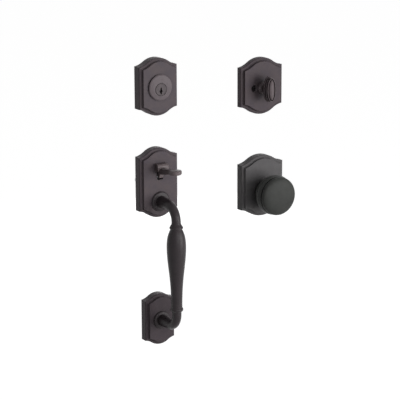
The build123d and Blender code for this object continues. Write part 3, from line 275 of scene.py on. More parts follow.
class Coat(Enum):
    """Every finish of the set, by where it goes.

    The lacquer is the same all over, but the members were photographed in slightly different light,
    and each place is matched to its own tone.
    """

    # Plates: matt, hardly touched, with a painted shadow under what stands in front of them.
    PLATE = BronzeLacquer(
        "bronze_lacquer_on_plates", "#61575a", "#595157", "#241b1e", "#6e6467", painted_shadow_tone=0.55
    )
    TURN_PLATE = BronzeLacquer(
        "bronze_lacquer_on_turn_plate", "#574d50", "#51484e", "#1d1518", "#625a5c",
        shadow_reach_mm=32.0, painted_shadow_tone=0.12,
    )
    LOWER_PLATE = BronzeLacquer(
        "bronze_lacquer_on_lower_plate", "#51484c", "#4b4348", "#1a1215", "#5c5356",
        shadow_reach_mm=34.0, painted_shadow_tone=0.4,
    )
    KNOB_PLATE = BronzeLacquer(
        "bronze_lacquer_on_knob_plate", "#666465", "#5e5c5d", "#161515", "#706e6f", painted_shadow_tone=1.0
    )
    # What the hand holds: smoother, and lighter where it is rubbed. The knob is as matt as a plate.
    LEVER = BronzeLacquer(
        "bronze_lacquer_on_levers", "#74686a", "#6c6062", "#1c1417", "#c0b1a5",
        roughness=0.36, specular=0.30, cove_mm=2.2, edge_mm=1.8, painted_shadow_tone=0.9,
    )
    TURN = BronzeLacquer(
        "bronze_lacquer_on_turn", "#675b5e", "#5f5558", "#0f0b0c", "#5c5255",
        roughness=0.36, specular=0.22, cove_mm=2.6, painted_shadow_tone=0.8,
    )
    GRIP = BronzeLacquer(
        "bronze_lacquer_on_grip", "#3d3639", "#373134", "#1f191b", "#564c4e",
        roughness=0.34, specular=0.21, cove_mm=1.2, painted_shadow_tone=1.0,
    )
    KNOB = BronzeLacquer(
        "bronze_lacquer_on_knob", "#414240", "#3b3c3a", "#121212", "#4c4d4a",
        cove_mm=2.4, painted_shadow_tone=1.0,
    )
    # Turned faces of the cylinder and the screws: crisp edges, with painted shade as thin dark lines
    # between them.
    CYLINDER = BronzeLacquer(
        "bronze_lacquer_on_cylinder", "#71676b", "#695f63", "#141213", "#7c7276",
        roughness=0.40, specular=0.20,
    )
    PLUG = BronzeLacquer(
        "bronze_lacquer_on_plug", "#665d60", "#5c5457", "#0e0c0d", "#837a7b", roughness=0.36, cove_mm=1.2
    )
    SCREW = BronzeLacquer(
        "bronze_lacquer_on_screws", "#6a6063", "#5e5558", "#0f0d0e", "#998e8b",
        roughness=0.34, specular=0.3, cove_mm=1.4, painted_shadow_tone=0.9,
    )
    # Hidden parts: cloudy pale grey plating, clean drawn wire, and yellow brass with tool rings.
    ZINC = BareMetal("zinc_plated_steel", "#c4c6c9", "#a9abae", 0.34, Projection.CLOUD, 2.5)
    SPRING = BareMetal("drawn_spring_steel", "#9a9ba0", "#7f8085", 0.30, Projection.LATHE, 0.5)
    BRASS = BareMetal("turned_brass", "#cdb070", "#b8985a", 0.28, Projection.LATHE, 0.4)


@dataclass
class Workshop:
    """Every finish of the set, made once and shared."""

    made: dict[Coat, Material] = field(default_factory=dict)

    def finish(self, coat: Coat) -> Material:
        """Gives a finish, made on first use.

        Args:
            coat: Which of the set's finishes.

        Returns:
            The material.
        """
        if coat not in self.made:
            self.made[coat] = coat.value.build()
        return self.made[coat]

    def dress(self, coat: Coat, *nodes: str) -> None:
        """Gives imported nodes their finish.

        Args:
            coat: The finish that they get.
            *nodes: The names of the nodes.
        """
        for node in nodes:
            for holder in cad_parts[node].material_slots:
                holder.link = "OBJECT"
                holder.material = self.finish(coat)
            log.info("%s: %s", node, coat.value.name)


@dataclass(frozen=True)
class Ring:
    """One round or oval section across the door axis, in millimetres."""

    half_x: float
    half_z: float
    y: float

    @classmethod
    def round(cls, radius: float, y: float) -> "Ring":
        """Makes a round section."""
        return cls(radius, radius, y)


def turned(line: Sequence[tuple[float, float]]) -> list[Ring]:
    """Gives the round sections of a turned piece.

    Args:
        line: For each section its radius and its depth outward from the door, in millimetres.

    Returns:
        The sections in the same order.
    """
    return [Ring.round(radius, -depth) for radius, depth in line]


def axis_of(node: str) -> Vector:
    """Finds where a node's axis crosses the face of the door.

    Args:
        node: The name of a node that turns or stands straight out from the door.

    Returns:
        The point, in metres.
    """
    low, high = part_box(node)
    return Vector(((low.x + high.x) / 2, 0.0, (low.z + high.z) / 2))


def place(name: str, data: ID) -> Object:
    """Puts a mesh, a lamp or a camera in the scene.

    Args:
        name: The name of the new object.
        data: What the object holds.

    Returns:
        The object, at the origin.
    """
    made = bpy.data.objects.new(name, data)
    bpy.context.scene.collection.objects.link(made)
    return made


def show(name: str, mesh: Mesh) -> Object:
    """Shades a mesh smooth up to its sharp edges and puts it in the scene.

    Args:
        name: The name of the new piece.
        mesh: Its mesh.

    Returns:
        The piece, at the origin.
    """
    mesh.name = name
    mesh.shade_smooth()
    mesh.set_sharp_from_angle(angle=SHARP_ANGLE)
    return place(name, mesh)


def new_tree(name: str, sizes: Mapping[str, Sequence[str]]) -> tuple[NodeTree, Any]:
    """Starts a geometry tree with named inputs.

    Args:
        name: The tree's name.
        sizes: For each kind of value the names of the inputs that take it.

    Returns:
        The tree, and the sockets that its inputs come from, by name.
    """
    tree = bpy.data.node_groups.new(name, "GeometryNodeTree")
    tree.is_modifier = True
    for kind, labels in sizes.items():
        for label in labels:
            tree.interface.new_socket(name=label, in_out="INPUT", socket_type="NodeSocket" + kind)
    tree.interface.new_socket(name="Geometry", in_out="OUTPUT", socket_type="NodeSocketGeometry")
    return tree, tree.nodes.new("NodeGroupInput").outputs


def set_in_row(tree: NodeTree, piece: Node, size: Any, step: Any) -> Node:
    """Repeats a piece along a straight row.

    Args:
        tree: The geometry tree.
        piece: The node that makes the piece.
        size: The tree's inputs, with Count and First among them.
        step: The socket or node that gives the way from one piece to the next.

    Returns:
        The node that makes the row.
    """
    line = {"Count": size["Count"], "Start Location": size["First"], "Offset": step}
    row = add_node(tree, "GeometryNodeMeshLine", line)
    return add_node(tree, "GeometryNodeInstanceOnPoints", {"Points": row, "Instance": piece})


def end_tree(tree: NodeTree, made: Node, size: Any) -> None:
    """Ends a geometry tree: makes its instances real and gives them their finish.

    Args:
        tree: The geometry tree.
        made: The node that makes all of its geometry.
        size: The tree's inputs, with Finish among them.
    """
    real = add_node(tree, "GeometryNodeRealizeInstances", {"Geometry": made})
    finish = {"Geometry": real, "Material": size["Finish"]}
    coated = add_node(tree, "GeometryNodeSetMaterial", finish)
    add_node(tree, "NodeGroupOutput", {"Geometry": coated})


def grow(name: str, tree: NodeTree, sizes: Mapping[str, Any]) -> Object:
    """Runs a geometry tree and keeps its result as a plain mesh.

    Args:
        name: The name of the new piece.
        tree: The geometry tree.
        sizes: A value for each of the tree's named inputs.

    Returns:
        The piece, at the origin, with its place in its mesh and no modifier left on it.
    """
    seed = place(name + "_seed", bpy.data.meshes.new(name + "_seed"))
    maker = seed.modifiers.new("maker", "NODES")
    maker.node_group = tree
    keys = {item.name: item.identifier for item in tree.interface.items_tree if item.in_out == "INPUT"}
    for label, value in sizes.items():
        maker[keys[label]] = value
    state = bpy.context.evaluated_depsgraph_get()
    grown = seed.evaluated_get(state)
    mesh = bpy.data.meshes.new_from_object(grown, preserve_all_data_layers=True, depsgraph=state)
    bpy.data.objects.remove(seed)
    return show(name, mesh)


def stacked_rings(name: str, rings: Sequence[Ring], sides: int, middle: Vector | None = None) -> Object:
    """Joins round or oval rings along the Y axis into a closed solid, as a lathe does.

    Args:
        name: The name of the solid.
        rings: The rings from one end of the axis to the other, the first and the last of no size,
            or once round a bead, the last the same as the first.
        sides: How many faces go round.
        middle: Where the axis crosses the face of the door, in metres; the origin if left out.

    Returns:
        The solid.
    """
    shape = bmesh.new()
    at = middle or Vector((0, 0, 0))
    turns = [2 * math.pi * i / sides for i in range(sides)]
    loops = []
    for ring in rings:
        around = turns if ring.half_x else turns[:1]
        spots = [Vector((ring.half_x * math.cos(t), ring.y, ring.half_z * math.sin(t))) for t in around]
        loops.append([shape.verts.new(at + spot * MM) for spot in spots])
    for near, far in zip(loops, loops[1:]):
        for i in range(sides):
            one, two = i % len(near), (i + 1) % len(near)
            three, four = (i + 1) % len(far), i % len(far)
            shape.faces.new(list(dict.fromkeys([near[one], near[two], far[three], far[four]])))
    bmesh.ops.remove_doubles(shape, verts=shape.verts, dist=WELD_DISTANCE)
    bmesh.ops.recalc_face_normals(shape, faces=shape.faces)
    mesh = bpy.data.meshes.new(name)
    shape.to_mesh(mesh)
    shape.free()
    return show(name, mesh)


def flowing(knots: Sequence[tuple[float, float]], steps: int) -> list[tuple[float, float]]:
    """Draws a smooth line through knots in a plane.

    Args:
        knots: The points that the line passes.
        steps: How many steps it takes from one knot to the next.

    Returns:
        The points of the line.
    """
    ends = [knots[0], *knots, knots[-1]]
    line = []
    for p0, p1, p2, p3 in zip(ends, ends[1:], ends[2:], ends[3:]):
        for i in range(steps):
            u = i / steps
            near = 2 * u**3 - 3 * u**2 + 1
            far = 1 - near
            leave = (u**3 - 2 * u**2 + u) / 2
            reach = (u**3 - u**2) / 2
            line.append(
                tuple(
                    near * b + far * c + leave * (c - a) + reach * (d - b)
                    for a, b, c, d in zip(p0, p1, p2, p3)
                )
            )
    return line + [knots[-1]]


@dataclass
class ScrewRow:
    """Slotted oval-head machine screws with cut threads, side by side across the door.

    Lengths are in millimetres. The row takes its place from the node that it stands for.
    """

    node: str
    piece: str
    spacing: float = 30.0
    head_radius: float = 4.3
    crown: float = 1.0
    neck_radius: float = 1.7
    neck_end: float = 1.0
    thread_radius: float = 2.1
    thread_depth: float = 0.42
    pitch: float = 0.8
    slot_width: float = 1.1
    slot_depth: float = 1.6
    sides: int = 48
    dome_steps: int = 6
    rings_per_turn: float = 8.0

    def head(self) -> Object:
        """Makes the head and neck of one screw.

        Returns:
            The solid, with the rim of the head at y = 0.
        """
        low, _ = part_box(self.node)
        rim_to_neck_end = -(low.y / MM) - self.crown + self.neck_end
        domed = [math.radians(90 * i / self.dome_steps) for i in range(1, self.dome_steps + 1)]
        rings = [Ring.round(0.0, -self.crown)]
        rings += [Ring.round(self.head_radius * math.sin(t), -self.crown * math.cos(t)) for t in domed]
        rings.append(Ring.round(self.neck_radius, self.head_radius - self.neck_radius))
        rings.append(Ring.round(self.neck_radius, rim_to_neck_end))
        rings.append(Ring.round(0.0, rim_to_neck_end))
        return stacked_rings(self.piece + "_head", rings, self.sides)

    def tree(self) -> NodeTree:
        """Makes the tree: thread a shank, slot the head, repeat the screw along the row.

        Returns:
            The tree.
        """
        lengths = ("Spacing", "Thread Radius", "Thread Depth", "Pitch", "Thread Length", "Thread Middle")
        sizes = {
            "Object": ("Head",),
            "Material": ("Finish",),
            "Int": ("Count",),
            "Vector": ("First", "Slot"),
            "Float": lengths,
        }
        tree, size = new_tree(self.piece + "_tree", sizes)
        pitch, length = size["Pitch"], size["Thread Length"]
        turns = add_node(tree, MATH, {0: length, 1: pitch}, operation="DIVIDE")
        rings = add_node(tree, MATH, {0: turns, 1: self.rings_per_turn}, operation="MULTIPLY")
        rod = {"Vertices": self.sides // 2, "Side Segments": rings, "Depth": length}
        bar = add_node(tree, "GeometryNodeMeshCylinder", {**rod, "Radius": size["Thread Radius"]})
        # The flanks go in and out once per pitch, and a turn moves them on by one pitch. Pingpong
        # swings from 0 to a half, so it is doubled, and minus is inward.
        here = add_node(tree, "ShaderNodeSeparateXYZ", {0: add_node(tree, "GeometryNodeInputPosition")})
        x, y, z = here.outputs
        angle = add_node(tree, MATH, {0: y, 1: x}, operation="ARCTAN2")
        share = add_node(tree, MATH, {0: angle, 1: 2 * math.pi}, operation="DIVIDE")
        rise = add_node(tree, MATH, {0: z, 1: pitch}, operation="DIVIDE")
        phase = add_node(tree, MATH, {0: share, 1: rise}, operation="ADD")
        flank = add_node(tree, MATH, {0: phase, 1: 0.5}, operation="PINGPONG")
        cut = add_node(tree, MATH, {0: flank, 1: size["Thread Depth"]}, operation="MULTIPLY")
        pull = add_node(tree, MATH, {0: cut, 1: -2.0}, operation="MULTIPLY")
        flat = add_node(tree, "ShaderNodeCombineXYZ", {"X": x, "Y": y})
        outward = add_node(tree, "ShaderNodeVectorMath", {0: flat}, operation="NORMALIZE")
        move = add_node(tree, "ShaderNodeVectorMath", {0: outward, "Scale": pull}, operation="SCALE")
        threaded = add_node(tree, "GeometryNodeSetPosition", {"Geometry": bar, "Offset": move})
        middle = add_node(tree, "ShaderNodeCombineXYZ", {"Y": size["Thread Middle"]})
        along_door_axis = {"Translation": middle, "Rotation": (math.pi / 2, 0.0, 0.0)}
        laid = add_node(tree, "GeometryNodeTransform", {"Geometry": threaded, **along_door_axis})
        head = add_node(tree, "GeometryNodeObjectInfo", {"Object": size["Head"]})
        cutter = add_node(tree, "GeometryNodeMeshCube", {"Size": size["Slot"]})
        crown = (0.0, -self.crown * MM, 0.0)
        at_crown = add_node(tree, "GeometryNodeTransform", {"Geometry": cutter, "Translation": crown})
        solids = {0: head.outputs["Geometry"], 1: at_crown}
        slotted = add_node(tree, "GeometryNodeMeshBoolean", solids, operation="DIFFERENCE")
        whole = add_node(tree, "GeometryNodeJoinGeometry", {0: slotted})
        tree.links.new(laid.outputs["Geometry"], whole.inputs[0])
        apart = add_node(tree, "ShaderNodeCombineXYZ", {"X": size["Spacing"]})
        end_tree(tree, set_in_row(tree, whole, size, apart), size)
        return tree

    def build(self, finish: Material, slot: str) -> None:
        """Makes the screws as one mesh and puts them in the node's place.

        Args:
            finish: The material of the screws.
            slot: The record's slot name; not used.
        """
        low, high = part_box(self.node)
        head = self.head()
        rim = low.y + self.crown * MM
        start = self.neck_end * MM - rim
        end = high.y - rim
        count = 1 + round((high.x - low.x - 2 * self.head_radius * MM) / (self.spacing * MM))
        piece = grow(
            self.piece,
            self.tree(),
            {
                "Head": head,
                "Finish": finish,
                "Count": count,
                "First": (low.x + self.head_radius * MM, rim, (low.z + high.z) / 2),
                "Spacing": self.spacing * MM,
                "Thread Radius": self.thread_radius * MM,
                "Thread Depth": self.thread_depth * MM,
                "Pitch": self.pitch * MM,
                "Thread Length": end - start,
                "Thread Middle": (start + end) / 2,
                "Slot": (self.slot_width * MM, 2 * self.slot_depth * MM, 3 * self.head_radius * MM),
            },
        )
        bpy.data.objects.remove(head)
        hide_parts(self.node)
        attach(piece, "door_side")
        log.info("%s: %d screws, %d faces", piece.name, count, len(piece.data.polygons))


class Axis(Enum):
    """Which way a coil runs: up, or through the door."""

    UP = (0.0, 0.0, 0.0)
    INTO_DOOR = (-math.pi / 2, 0.0, 0.0)


@dataclass
class CoilSprings:
    """Compression springs with closed end turns, alike and in one row.

    Lengths are in millimetres, and first is the foot of the first spring in the frame, in metres.
    """

    piece: str
    coil_radius: float
    wire_radius: float
    turns: float
    height: float
    first: Vector
    axis: Axis = Axis.UP
    count: int = 1
    offset: tuple[float, float, float] = (0.0, 0.0, 0.0)
    steps_per_turn: int = 28
    wire_sides: int = 10
    closing: float = 0.8

    def tree(self) -> NodeTree:
        """Makes the tree: wind a wire whose pitch falls off at both ends, and repeat it.

        Returns:
            The tree.
        """
        sizes = {
            "Material": ("Finish",),
            "Int": ("Count",),
            "Vector": ("First", "Offset", "Rotation"),
            "Float": ("Coil Radius", "Wire Radius", "Turns", "Height"),
        }
        tree, size = new_tree(self.piece + "_tree", sizes)
        coil = add_node(
            tree,
            "GeometryNodeCurveSpiral",
            {
                "Resolution": self.steps_per_turn,
                "Rotations": size["Turns"],
                "Start Radius": size["Coil Radius"],
                "End Radius": size["Coil Radius"],
                "Height": 0.0,
            },
        )
        along = add_node(tree, "GeometryNodeSplineParameter").outputs["Factor"]
        swing = add_node(tree, MATH, {0: along, 1: 2 * math.pi}, operation="MULTIPLY")
        wave = add_node(tree, MATH, {0: swing}, operation="SINE")
        closed = {0: wave, 1: -self.closing / (2 * math.pi), 2: along}
        eased = add_node(tree, MATH, closed, operation="MULTIPLY_ADD")
        rise = add_node(tree, MATH, {0: eased, 1: size["Height"]}, operation="MULTIPLY")
        lift = add_node(tree, "ShaderNodeCombineXYZ", {"Z": rise})
        wound = add_node(tree, "GeometryNodeSetPosition", {"Geometry": coil, "Offset": lift})
        gauge = {"Resolution": self.wire_sides, "Radius": size["Wire Radius"]}
        section = add_node(tree, "GeometryNodeCurvePrimitiveCircle", gauge)
        drawn = {"Curve": wound, "Profile Curve": section, "Fill Caps": True}
        wire = add_node(tree, "GeometryNodeCurveToMesh", drawn)
        way = {"Geometry": wire, "Rotation": size["Rotation"]}
        spring = add_node(tree, "GeometryNodeTransform", way)
        end_tree(tree, set_in_row(tree, spring, size, size["Offset"]), size)
        return tree

    def build(self, finish: Material, node: str | None = None) -> Object:
        """Winds the springs and seats them.

        Args:
            finish: The material of the wire.
            node: The node that they stand for, where there is one.

        Returns:
            The springs as one mesh.
        """
        piece = grow(
            self.piece,
            self.tree(),
            {
                "Finish": finish,
                "Count": self.count,
                "First": tuple(self.first),
                "Offset": tuple(v * MM for v in self.offset),
                "Rotation": self.axis.value,
                "Coil Radius": self.coil_radius * MM,
                "Wire Radius": self.wire_radius * MM,
                "Turns": self.turns,
                "Height": self.height * MM,
            },
        )
        if node is not None:
            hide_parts(node)
        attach(piece, "door_side")
        log.info("%s: %d springs, %d faces", piece.name, self.count, len(piece.data.polygons))
        return piece


@dataclass
class KeyedTrim:
    """Outside deadbolt trim: arched rose, cylinder, plug and pin stacks with their springs."""

    workshop: Workshop
    pin_pitch: float = 4.0
    pin_radius: float = 1.45
    pin_spring_wire: float = 0.16
    pin_spring_turns: float = 7.0
    chamber_top: float = 156.2

    def dress(self) -> None:
        """Gives each piece of the trim its finish."""
        self.workshop.dress(Coat.PLATE, "keyed_rose")
        self.workshop.dress(Coat.CYLINDER, "cylinder_housing")
        self.workshop.dress(Coat.PLUG, "cylinder_plug")
        self.workshop.dress(Coat.BRASS, "key_pins", "driver_pins")
        self.workshop.dress(Coat.SPRING, "plug_clip")
        self.workshop.dress(Coat.ZINC, "tailpiece")

    def pin_springs(self) -> None:
        """Sets one small spring on each driver pin, under the roof of its chamber."""
        low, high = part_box("driver_pins")
        count = 1 + round((high.y - low.y - 2 * self.pin_radius * MM) / (self.pin_pitch * MM))
        springs = CoilSprings(
            piece="pin_springs",
            coil_radius=self.pin_radius - 2 * self.pin_spring_wire,
            wire_radius=self.pin_spring_wire,
            turns=self.pin_spring_turns,
            height=self.chamber_top - high.z / MM - 2 * self.pin_spring_wire,
            first=Vector((0.0, low.y + self.pin_radius * MM, high.z + self.pin_spring_wire * MM)),
            count=count,
            offset=(0.0, self.pin_pitch, 0.0),
            steps_per_turn=20,
            wire_sides=8,
        )
        springs.build(self.workshop.finish(Coat.SPRING))

    def build(self) -> None:
        """Dresses the trim and adds its springs."""
        self.dress()
        self.pin_springs()


@dataclass
class OvalTurn:
    """The turn: journal, foot and waist on the door axis, and a stepped oval grip in front.

    Lengths are in millimetres, and depths are counted outward from the face of the door. Inset is
    how far a step of the oval stays inside its outline at top and bottom, and at the sides it is
    across times as much. Numbers beside a named size are the small steps and roundings on it.
    """

    piece: str = "thumbturn_stepped"
    half_width: float = 9.2
    half_height: float = 19.3
    across: float = 1.2
    rear: float = 3.0
    journal_radius: float = 5.0
    clip_radius: float = 4.4
    clip_near: float = 0.8
    clip_far: float = 2.0
    foot_radius: float = 9.4
    foot_depth: float = 12.9
    foot_top: float = 14.5
    waist_radius: float = 4.6
    neck_radius: float = 6.2
    oval_depth: float = 27.0
    rim: float = 3.0
    groove: float = 1.2
    front: float = 39.0
    socket: tuple[float, float] = (2.3, 6.7)
    socket_depth: float = 9.0
    sides: int = 96

    def steps(self) -> list[tuple[float, float]]:
        """Draws the oval's rims, grooves, bead and face.

        Returns:
            The inset and the depth of each section, from the back to the front.
        """
        first, second = self.oval_depth + self.rim, self.oval_depth + self.rim + self.groove
        crown = second + self.rim + self.groove
        return [
            (0.5, self.oval_depth),
            (0.0, self.oval_depth + 0.5),
            (0.0, first - 0.5),
            (0.5, first),
            (1.6, first),
            (1.6, second),
            (1.1, second),
            (0.8, second + 0.4),
            (0.8, second + self.rim - 0.4),
            (1.2, second + self.rim),
            (2.2, second + self.rim),
            (2.2, crown),
            (1.7, crown + 0.2),
            (1.4, crown + 0.7),
            (1.5, crown + 1.5),
            (1.9, crown + 2.1),
            (2.4, crown + 2.2),
            (2.7, crown + 1.8),
            (2.8, crown - 0.2),
            (3.5, crown - 0.2),
            (3.7, crown + 1.6),
            (4.1, crown + 2.3),
            (5.1, crown + 2.9),
            (6.6, self.front - 0.2),
        ]

    def blank(self) -> Object:
        """Makes the casting before its socket is cut.

        Returns:
            The solid.
        """
        waist = flowing(
            [
                (self.foot_radius - 0.5, self.foot_top),
                (self.waist_radius + 1.6, self.foot_top + 1.4),
                (self.waist_radius, (self.foot_top + self.oval_depth) / 2),
                (self.neck_radius, self.oval_depth),
            ],
            steps=6,
        )
        rings = turned(
            [
                (0.0, -self.rear),
                (self.journal_radius, -self.rear),
                (self.journal_radius, -self.clip_far),
                (self.clip_radius, -self.clip_far),
                (self.clip_radius, -self.clip_near),
                (self.journal_radius, -self.clip_near),
                (self.journal_radius, self.foot_depth),
                (self.foot_radius, self.foot_depth),
                *waist,
            ]
        )
        for inset, depth in self.steps():
            rings.append(Ring(self.half_width - self.across * inset, self.half_height - inset, -depth))
        rings.append(Ring.round(0.0, -self.front))
        return stacked_rings(self.piece + "_blank", rings, self.sides, axis_of("thumbturn"))

    def tree(self) -> NodeTree:
        """Makes the tree that cuts the tailpiece's socket into the blank.

        Returns:
            The tree.
        """
        sizes = {"Object": ("Blank",), "Material": ("Finish",), "Vector": ("Socket", "Socket Middle")}
        tree, size = new_tree(self.piece + "_tree", sizes)
        blank = add_node(tree, "GeometryNodeObjectInfo", {"Object": size["Blank"]})
        block = add_node(tree, "GeometryNodeMeshCube", {"Size": size["Socket"]})
        spot = {"Geometry": block, "Translation": size["Socket Middle"]}
        cutter = add_node(tree, "GeometryNodeTransform", spot)
        solids = {0: blank.outputs["Geometry"], 1: cutter}
        cut = add_node(tree, "GeometryNodeMeshBoolean", solids, operation="DIFFERENCE")
        end_tree(tree, cut, size)
        return tree

    def build(self, finish: Material) -> None:
        """Makes the turn in the place of its solid.

        Args:
            finish: The material of the turn.
        """
        axis = axis_of("thumbturn")
        blank = self.blank()
        width, height = self.socket
        piece = grow(
            self.piece,
            self.tree(),
            {
                "Blank": blank,
                "Finish": finish,
                "Socket": (width * MM, 2 * self.socket_depth * MM, height * MM),
                "Socket Middle": (axis.x, self.rear * MM, axis.z),
            },
        )
        bpy.data.objects.remove(blank)
        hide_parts("thumbturn")
        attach(piece, "turn")
        log.info("%s: %d faces", piece.name, len(piece.data.polygons))


@dataclass
class ThumbturnTrim:
    """Inside deadbolt trim: arched rose, oval turn, washer, clip and two screws."""

    workshop: Workshop
    turn: OvalTurn = field(default_factory=OvalTurn)
    screws: ScrewRow = field(default_factory=lambda: ScrewRow("turn_screws", "turn_screws_slotted"))

    def dress(self) -> None:
        """Gives each piece of the trim its finish."""
        self.workshop.dress(Coat.TURN_PLATE, "thumbturn_rose")
        self.workshop.dress(Coat.SPRING, "turn_washer", "turn_clip")

    def build(self) -> None:
        """Dresses the trim, casts its turn and sets its screws."""
        self.dress()
        self.turn.build(self.workshop.finish(Coat.TURN))
        self.screws.build(self.workshop.finish(Coat.SCREW), "bronze_lever")


@dataclass
class GripHandle:
    """Outside handle: escutcheon, thumb latch, grip, lower rose and what drives the latch."""

    workshop: Workshop
    lift_turns: float = 7.0
    lift_wire: float = 0.45
    lift_travel: float = 2.152

    def dress(self) -> None:
        """Gives each piece of the handle its finish."""
        self.workshop.dress(Coat.PLATE, "escutcheon")
        self.workshop.dress(Coat.LOWER_PLATE, "lower_rose")
        self.workshop.dress(Coat.LEVER, "thumb_piece")
        self.workshop.dress(Coat.GRIP, "grip")
        self.workshop.dress(Coat.ZINC, "escutcheon_backplate", "mounting_posts", "pivot_pin")
        self.workshop.dress(Coat.ZINC, "lift_slide", "latch_driver", "grip_screw", "lower_post")
        self.workshop.dress(Coat.SPRING, "driver_clip")

    def lift_spring(self) -> None:
        """Winds the spring that pushes the slide down again."""
        low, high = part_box("lift_spring")
        middle = (low + high) / 2
        spring = CoilSprings(
            piece="lift_spring_wound",
            coil_radius=(high.x - low.x) / 2 / MM - self.lift_wire,
            wire_radius=self.lift_wire,
            turns=self.lift_turns,
            height=(high.z - low.z) / MM - 2 * self.lift_wire,
            first=Vector((middle.x, middle.y, low.z + self.lift_wire * MM)),
        )
        piece = spring.build(self.workshop.finish(Coat.SPRING), "lift_spring")
        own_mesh(piece)

    def build(self) -> None:
        """Dresses the handle and winds its spring."""
        self.dress()
        self.lift_spring()


@dataclass
class HollowKnob:
    """The knob: a spun bowl on a shank, and a domed face rolled over its rim with a fine seam.

    Lengths are in millimetres, and depths are counted outward from the face of the door. Numbers
    beside a named size are the small steps and roundings on it.
    """

    piece: str = "knob_spun"
    radius: float = 30.4
    bore: float = 4.5
    shank_radius: float = 11.0
    rear: float = 2.6
    clip_radius: float = 9.8
    clip_near: float = -0.3
    clip_far: float = 0.9
    bowl_start: float = 21.0
    rim_depth: float = 46.0
    seam_depth: float = 53.0
    seam: float = 1.8
    front: float = 64.0
    shell: float = 2.8
    bottom: float = 6.0
    dome_power: float = 3.0
    dome_steps: int = 20
    sides: int = 128

    def dome(self) -> list[tuple[float, float]]:
        """Draws the face from its middle to its rolled edge.

        Returns:
            The radius and the depth of each section.
        """
        edge = self.radius - 1.2
        start = self.seam_depth + 2.4
        rise = self.front - start
        shares = [math.sin(math.radians(90 * i / self.dome_steps)) for i in range(1, self.dome_steps + 1)]
        over = [(1 - share**self.dome_power) ** (1 / self.dome_power) for share in shares]
        return [(edge * share, start + rise * height) for share, height in zip(shares, over)]

    def blank(self) -> Object:
        """Makes the knob as one hollow solid.

        Returns:
            The solid.
        """
        lip = self.radius - 0.9
        bowl = flowing(
            [
                (lip, self.seam_depth),
                (self.radius, self.rim_depth),
                (self.radius - 1.6, self.rim_depth - 5.0),
                (self.radius * 0.74, self.bowl_start + 8.0),
                (self.shank_radius, self.bowl_start),
            ],
            steps=8,
        )
        inside = flowing(
            [
                (self.shank_radius, self.bowl_start + self.bottom),
                (self.radius * 0.70, self.bowl_start + 12.5),
                (self.radius - self.shell - 1.4, self.rim_depth - 3.0),
                (self.radius - self.shell - 1.2, self.seam_depth - 3.0),
                (self.radius - 6.6, self.seam_depth + 3.2),
                (self.radius * 0.5, self.front - self.shell - 2.4),
            ],
            steps=6,
        )
        line = [
            (0.0, self.front),
            *self.dome(),
            (lip - self.seam, self.seam_depth + 2.2),
            (lip - self.seam, self.seam_depth + 0.2),
            *bowl,
            (self.shank_radius, -self.clip_near),
            (self.clip_radius, -self.clip_near),
            (self.clip_radius, -self.clip_far),
            (self.shank_radius, -self.clip_far),
            (self.shank_radius, -self.rear),
            (self.bore, -self.rear),
            (self.bore, self.bowl_start + self.bottom),
            *inside,
            (0.0, self.front - self.shell),
        ]
        return stacked_rings(self.piece, turned(line), self.sides, axis_of("knob"))

    def build(self, finish: Material) -> None:
        """Spins the knob in the place of its solid.

        Args:
            finish: The material of the knob.
        """
        piece = self.blank()
        piece.data.materials.append(finish)
        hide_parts("knob")
        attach(piece, "inside_knob")
        log.info("%s: %d faces", piece.name, len(piece.data.polygons))


@dataclass
class ShankRing:
    """The rounded ring that is pressed on the rose round the knob's shank.

    Lengths are in millimetres, and depths are counted outward from the face of the door.
    """

    piece: str = "knob_shank_ring"
    inner: float = 11.5
    outer: float = 16.4
    height: float = 3.2
    round: float = 1.2
    sides: int = 96

    def build(self, finish: Material) -> None:
        """Turns the ring and sits it on the rose.

        Args:
            finish: The material of the ring.
        """
        rose_low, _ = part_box("knob_rose")
        foot = -rose_low.y / MM
        top = foot + self.height
        line = [
            (self.inner, foot),
            (self.outer, foot),
            (self.outer, top - self.round),
            (self.outer - 0.3 * self.round, top - 0.3 * self.round),
            (self.outer - self.round, top),
            (self.inner + 0.4, top),
            (self.inner, top - 0.4),
            (self.inner, foot),
        ]
        piece = stacked_rings(self.piece, turned(line), self.sides, axis_of("knob"))
        piece.data.materials.append(finish)
        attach(piece, "door_side")
        log.info("%s: %d faces", piece.name, len(piece.data.polygons))


@dataclass
class InsideKnob:
    """Inside knob: arched rose, hollow knob on its spindle, ring, return spring, clip and screws."""

    workshop: Workshop
    knob: HollowKnob = field(default_factory=HollowKnob)
    ring: ShankRing = field(default_factory=ShankRing)
    return_turns: float = 2.5
    return_wire: float = 0.8
    screws: ScrewRow = field(
        default_factory=lambda: ScrewRow("knob_screws", "knob_screws_slotted", spacing=34.0)
    )

    def dress(self) -> None:
        """Gives each piece of the knob its finish."""
        self.workshop.dress(Coat.KNOB_PLATE, "knob_rose")
        self.workshop.dress(Coat.ZINC, "knob_mounting_plate", "knob_spindle")
        self.workshop.dress(Coat.SPRING, "knob_clip")

    def return_spring(self) -> None:
        """Winds the wide spring that brings the knob back to the middle."""
        low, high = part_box("return_spring")
        middle = (low + high) / 2
        spring = CoilSprings(
            piece="return_spring_wound",
            coil_radius=(high.x - low.x) / 2 / MM - self.return_wire,
            wire_radius=self.return_wire,
            turns=self.return_turns,
            height=(high.y - low.y) / MM - 2 * self.return_wire,
            first=Vector((middle.x, low.y + self.return_wire * MM, middle.z)),
            axis=Axis.INTO_DOOR,
            steps_per_turn=64,
            wire_sides=12,
            closing=0.5,
        )
        spring.build(self.workshop.finish(Coat.SPRING), "return_spring")

    def build(self) -> None:
        """Dresses the rose, spins the knob, and sets its ring, its screws and its spring."""
        self.dress()
        self.knob.build(self.workshop.finish(Coat.KNOB))
        self.ring.build(self.workshop.finish(Coat.KNOB))
        self.screws.build(self.workshop.finish(Coat.ZINC), "zinc_steel")
        self.return_spring()


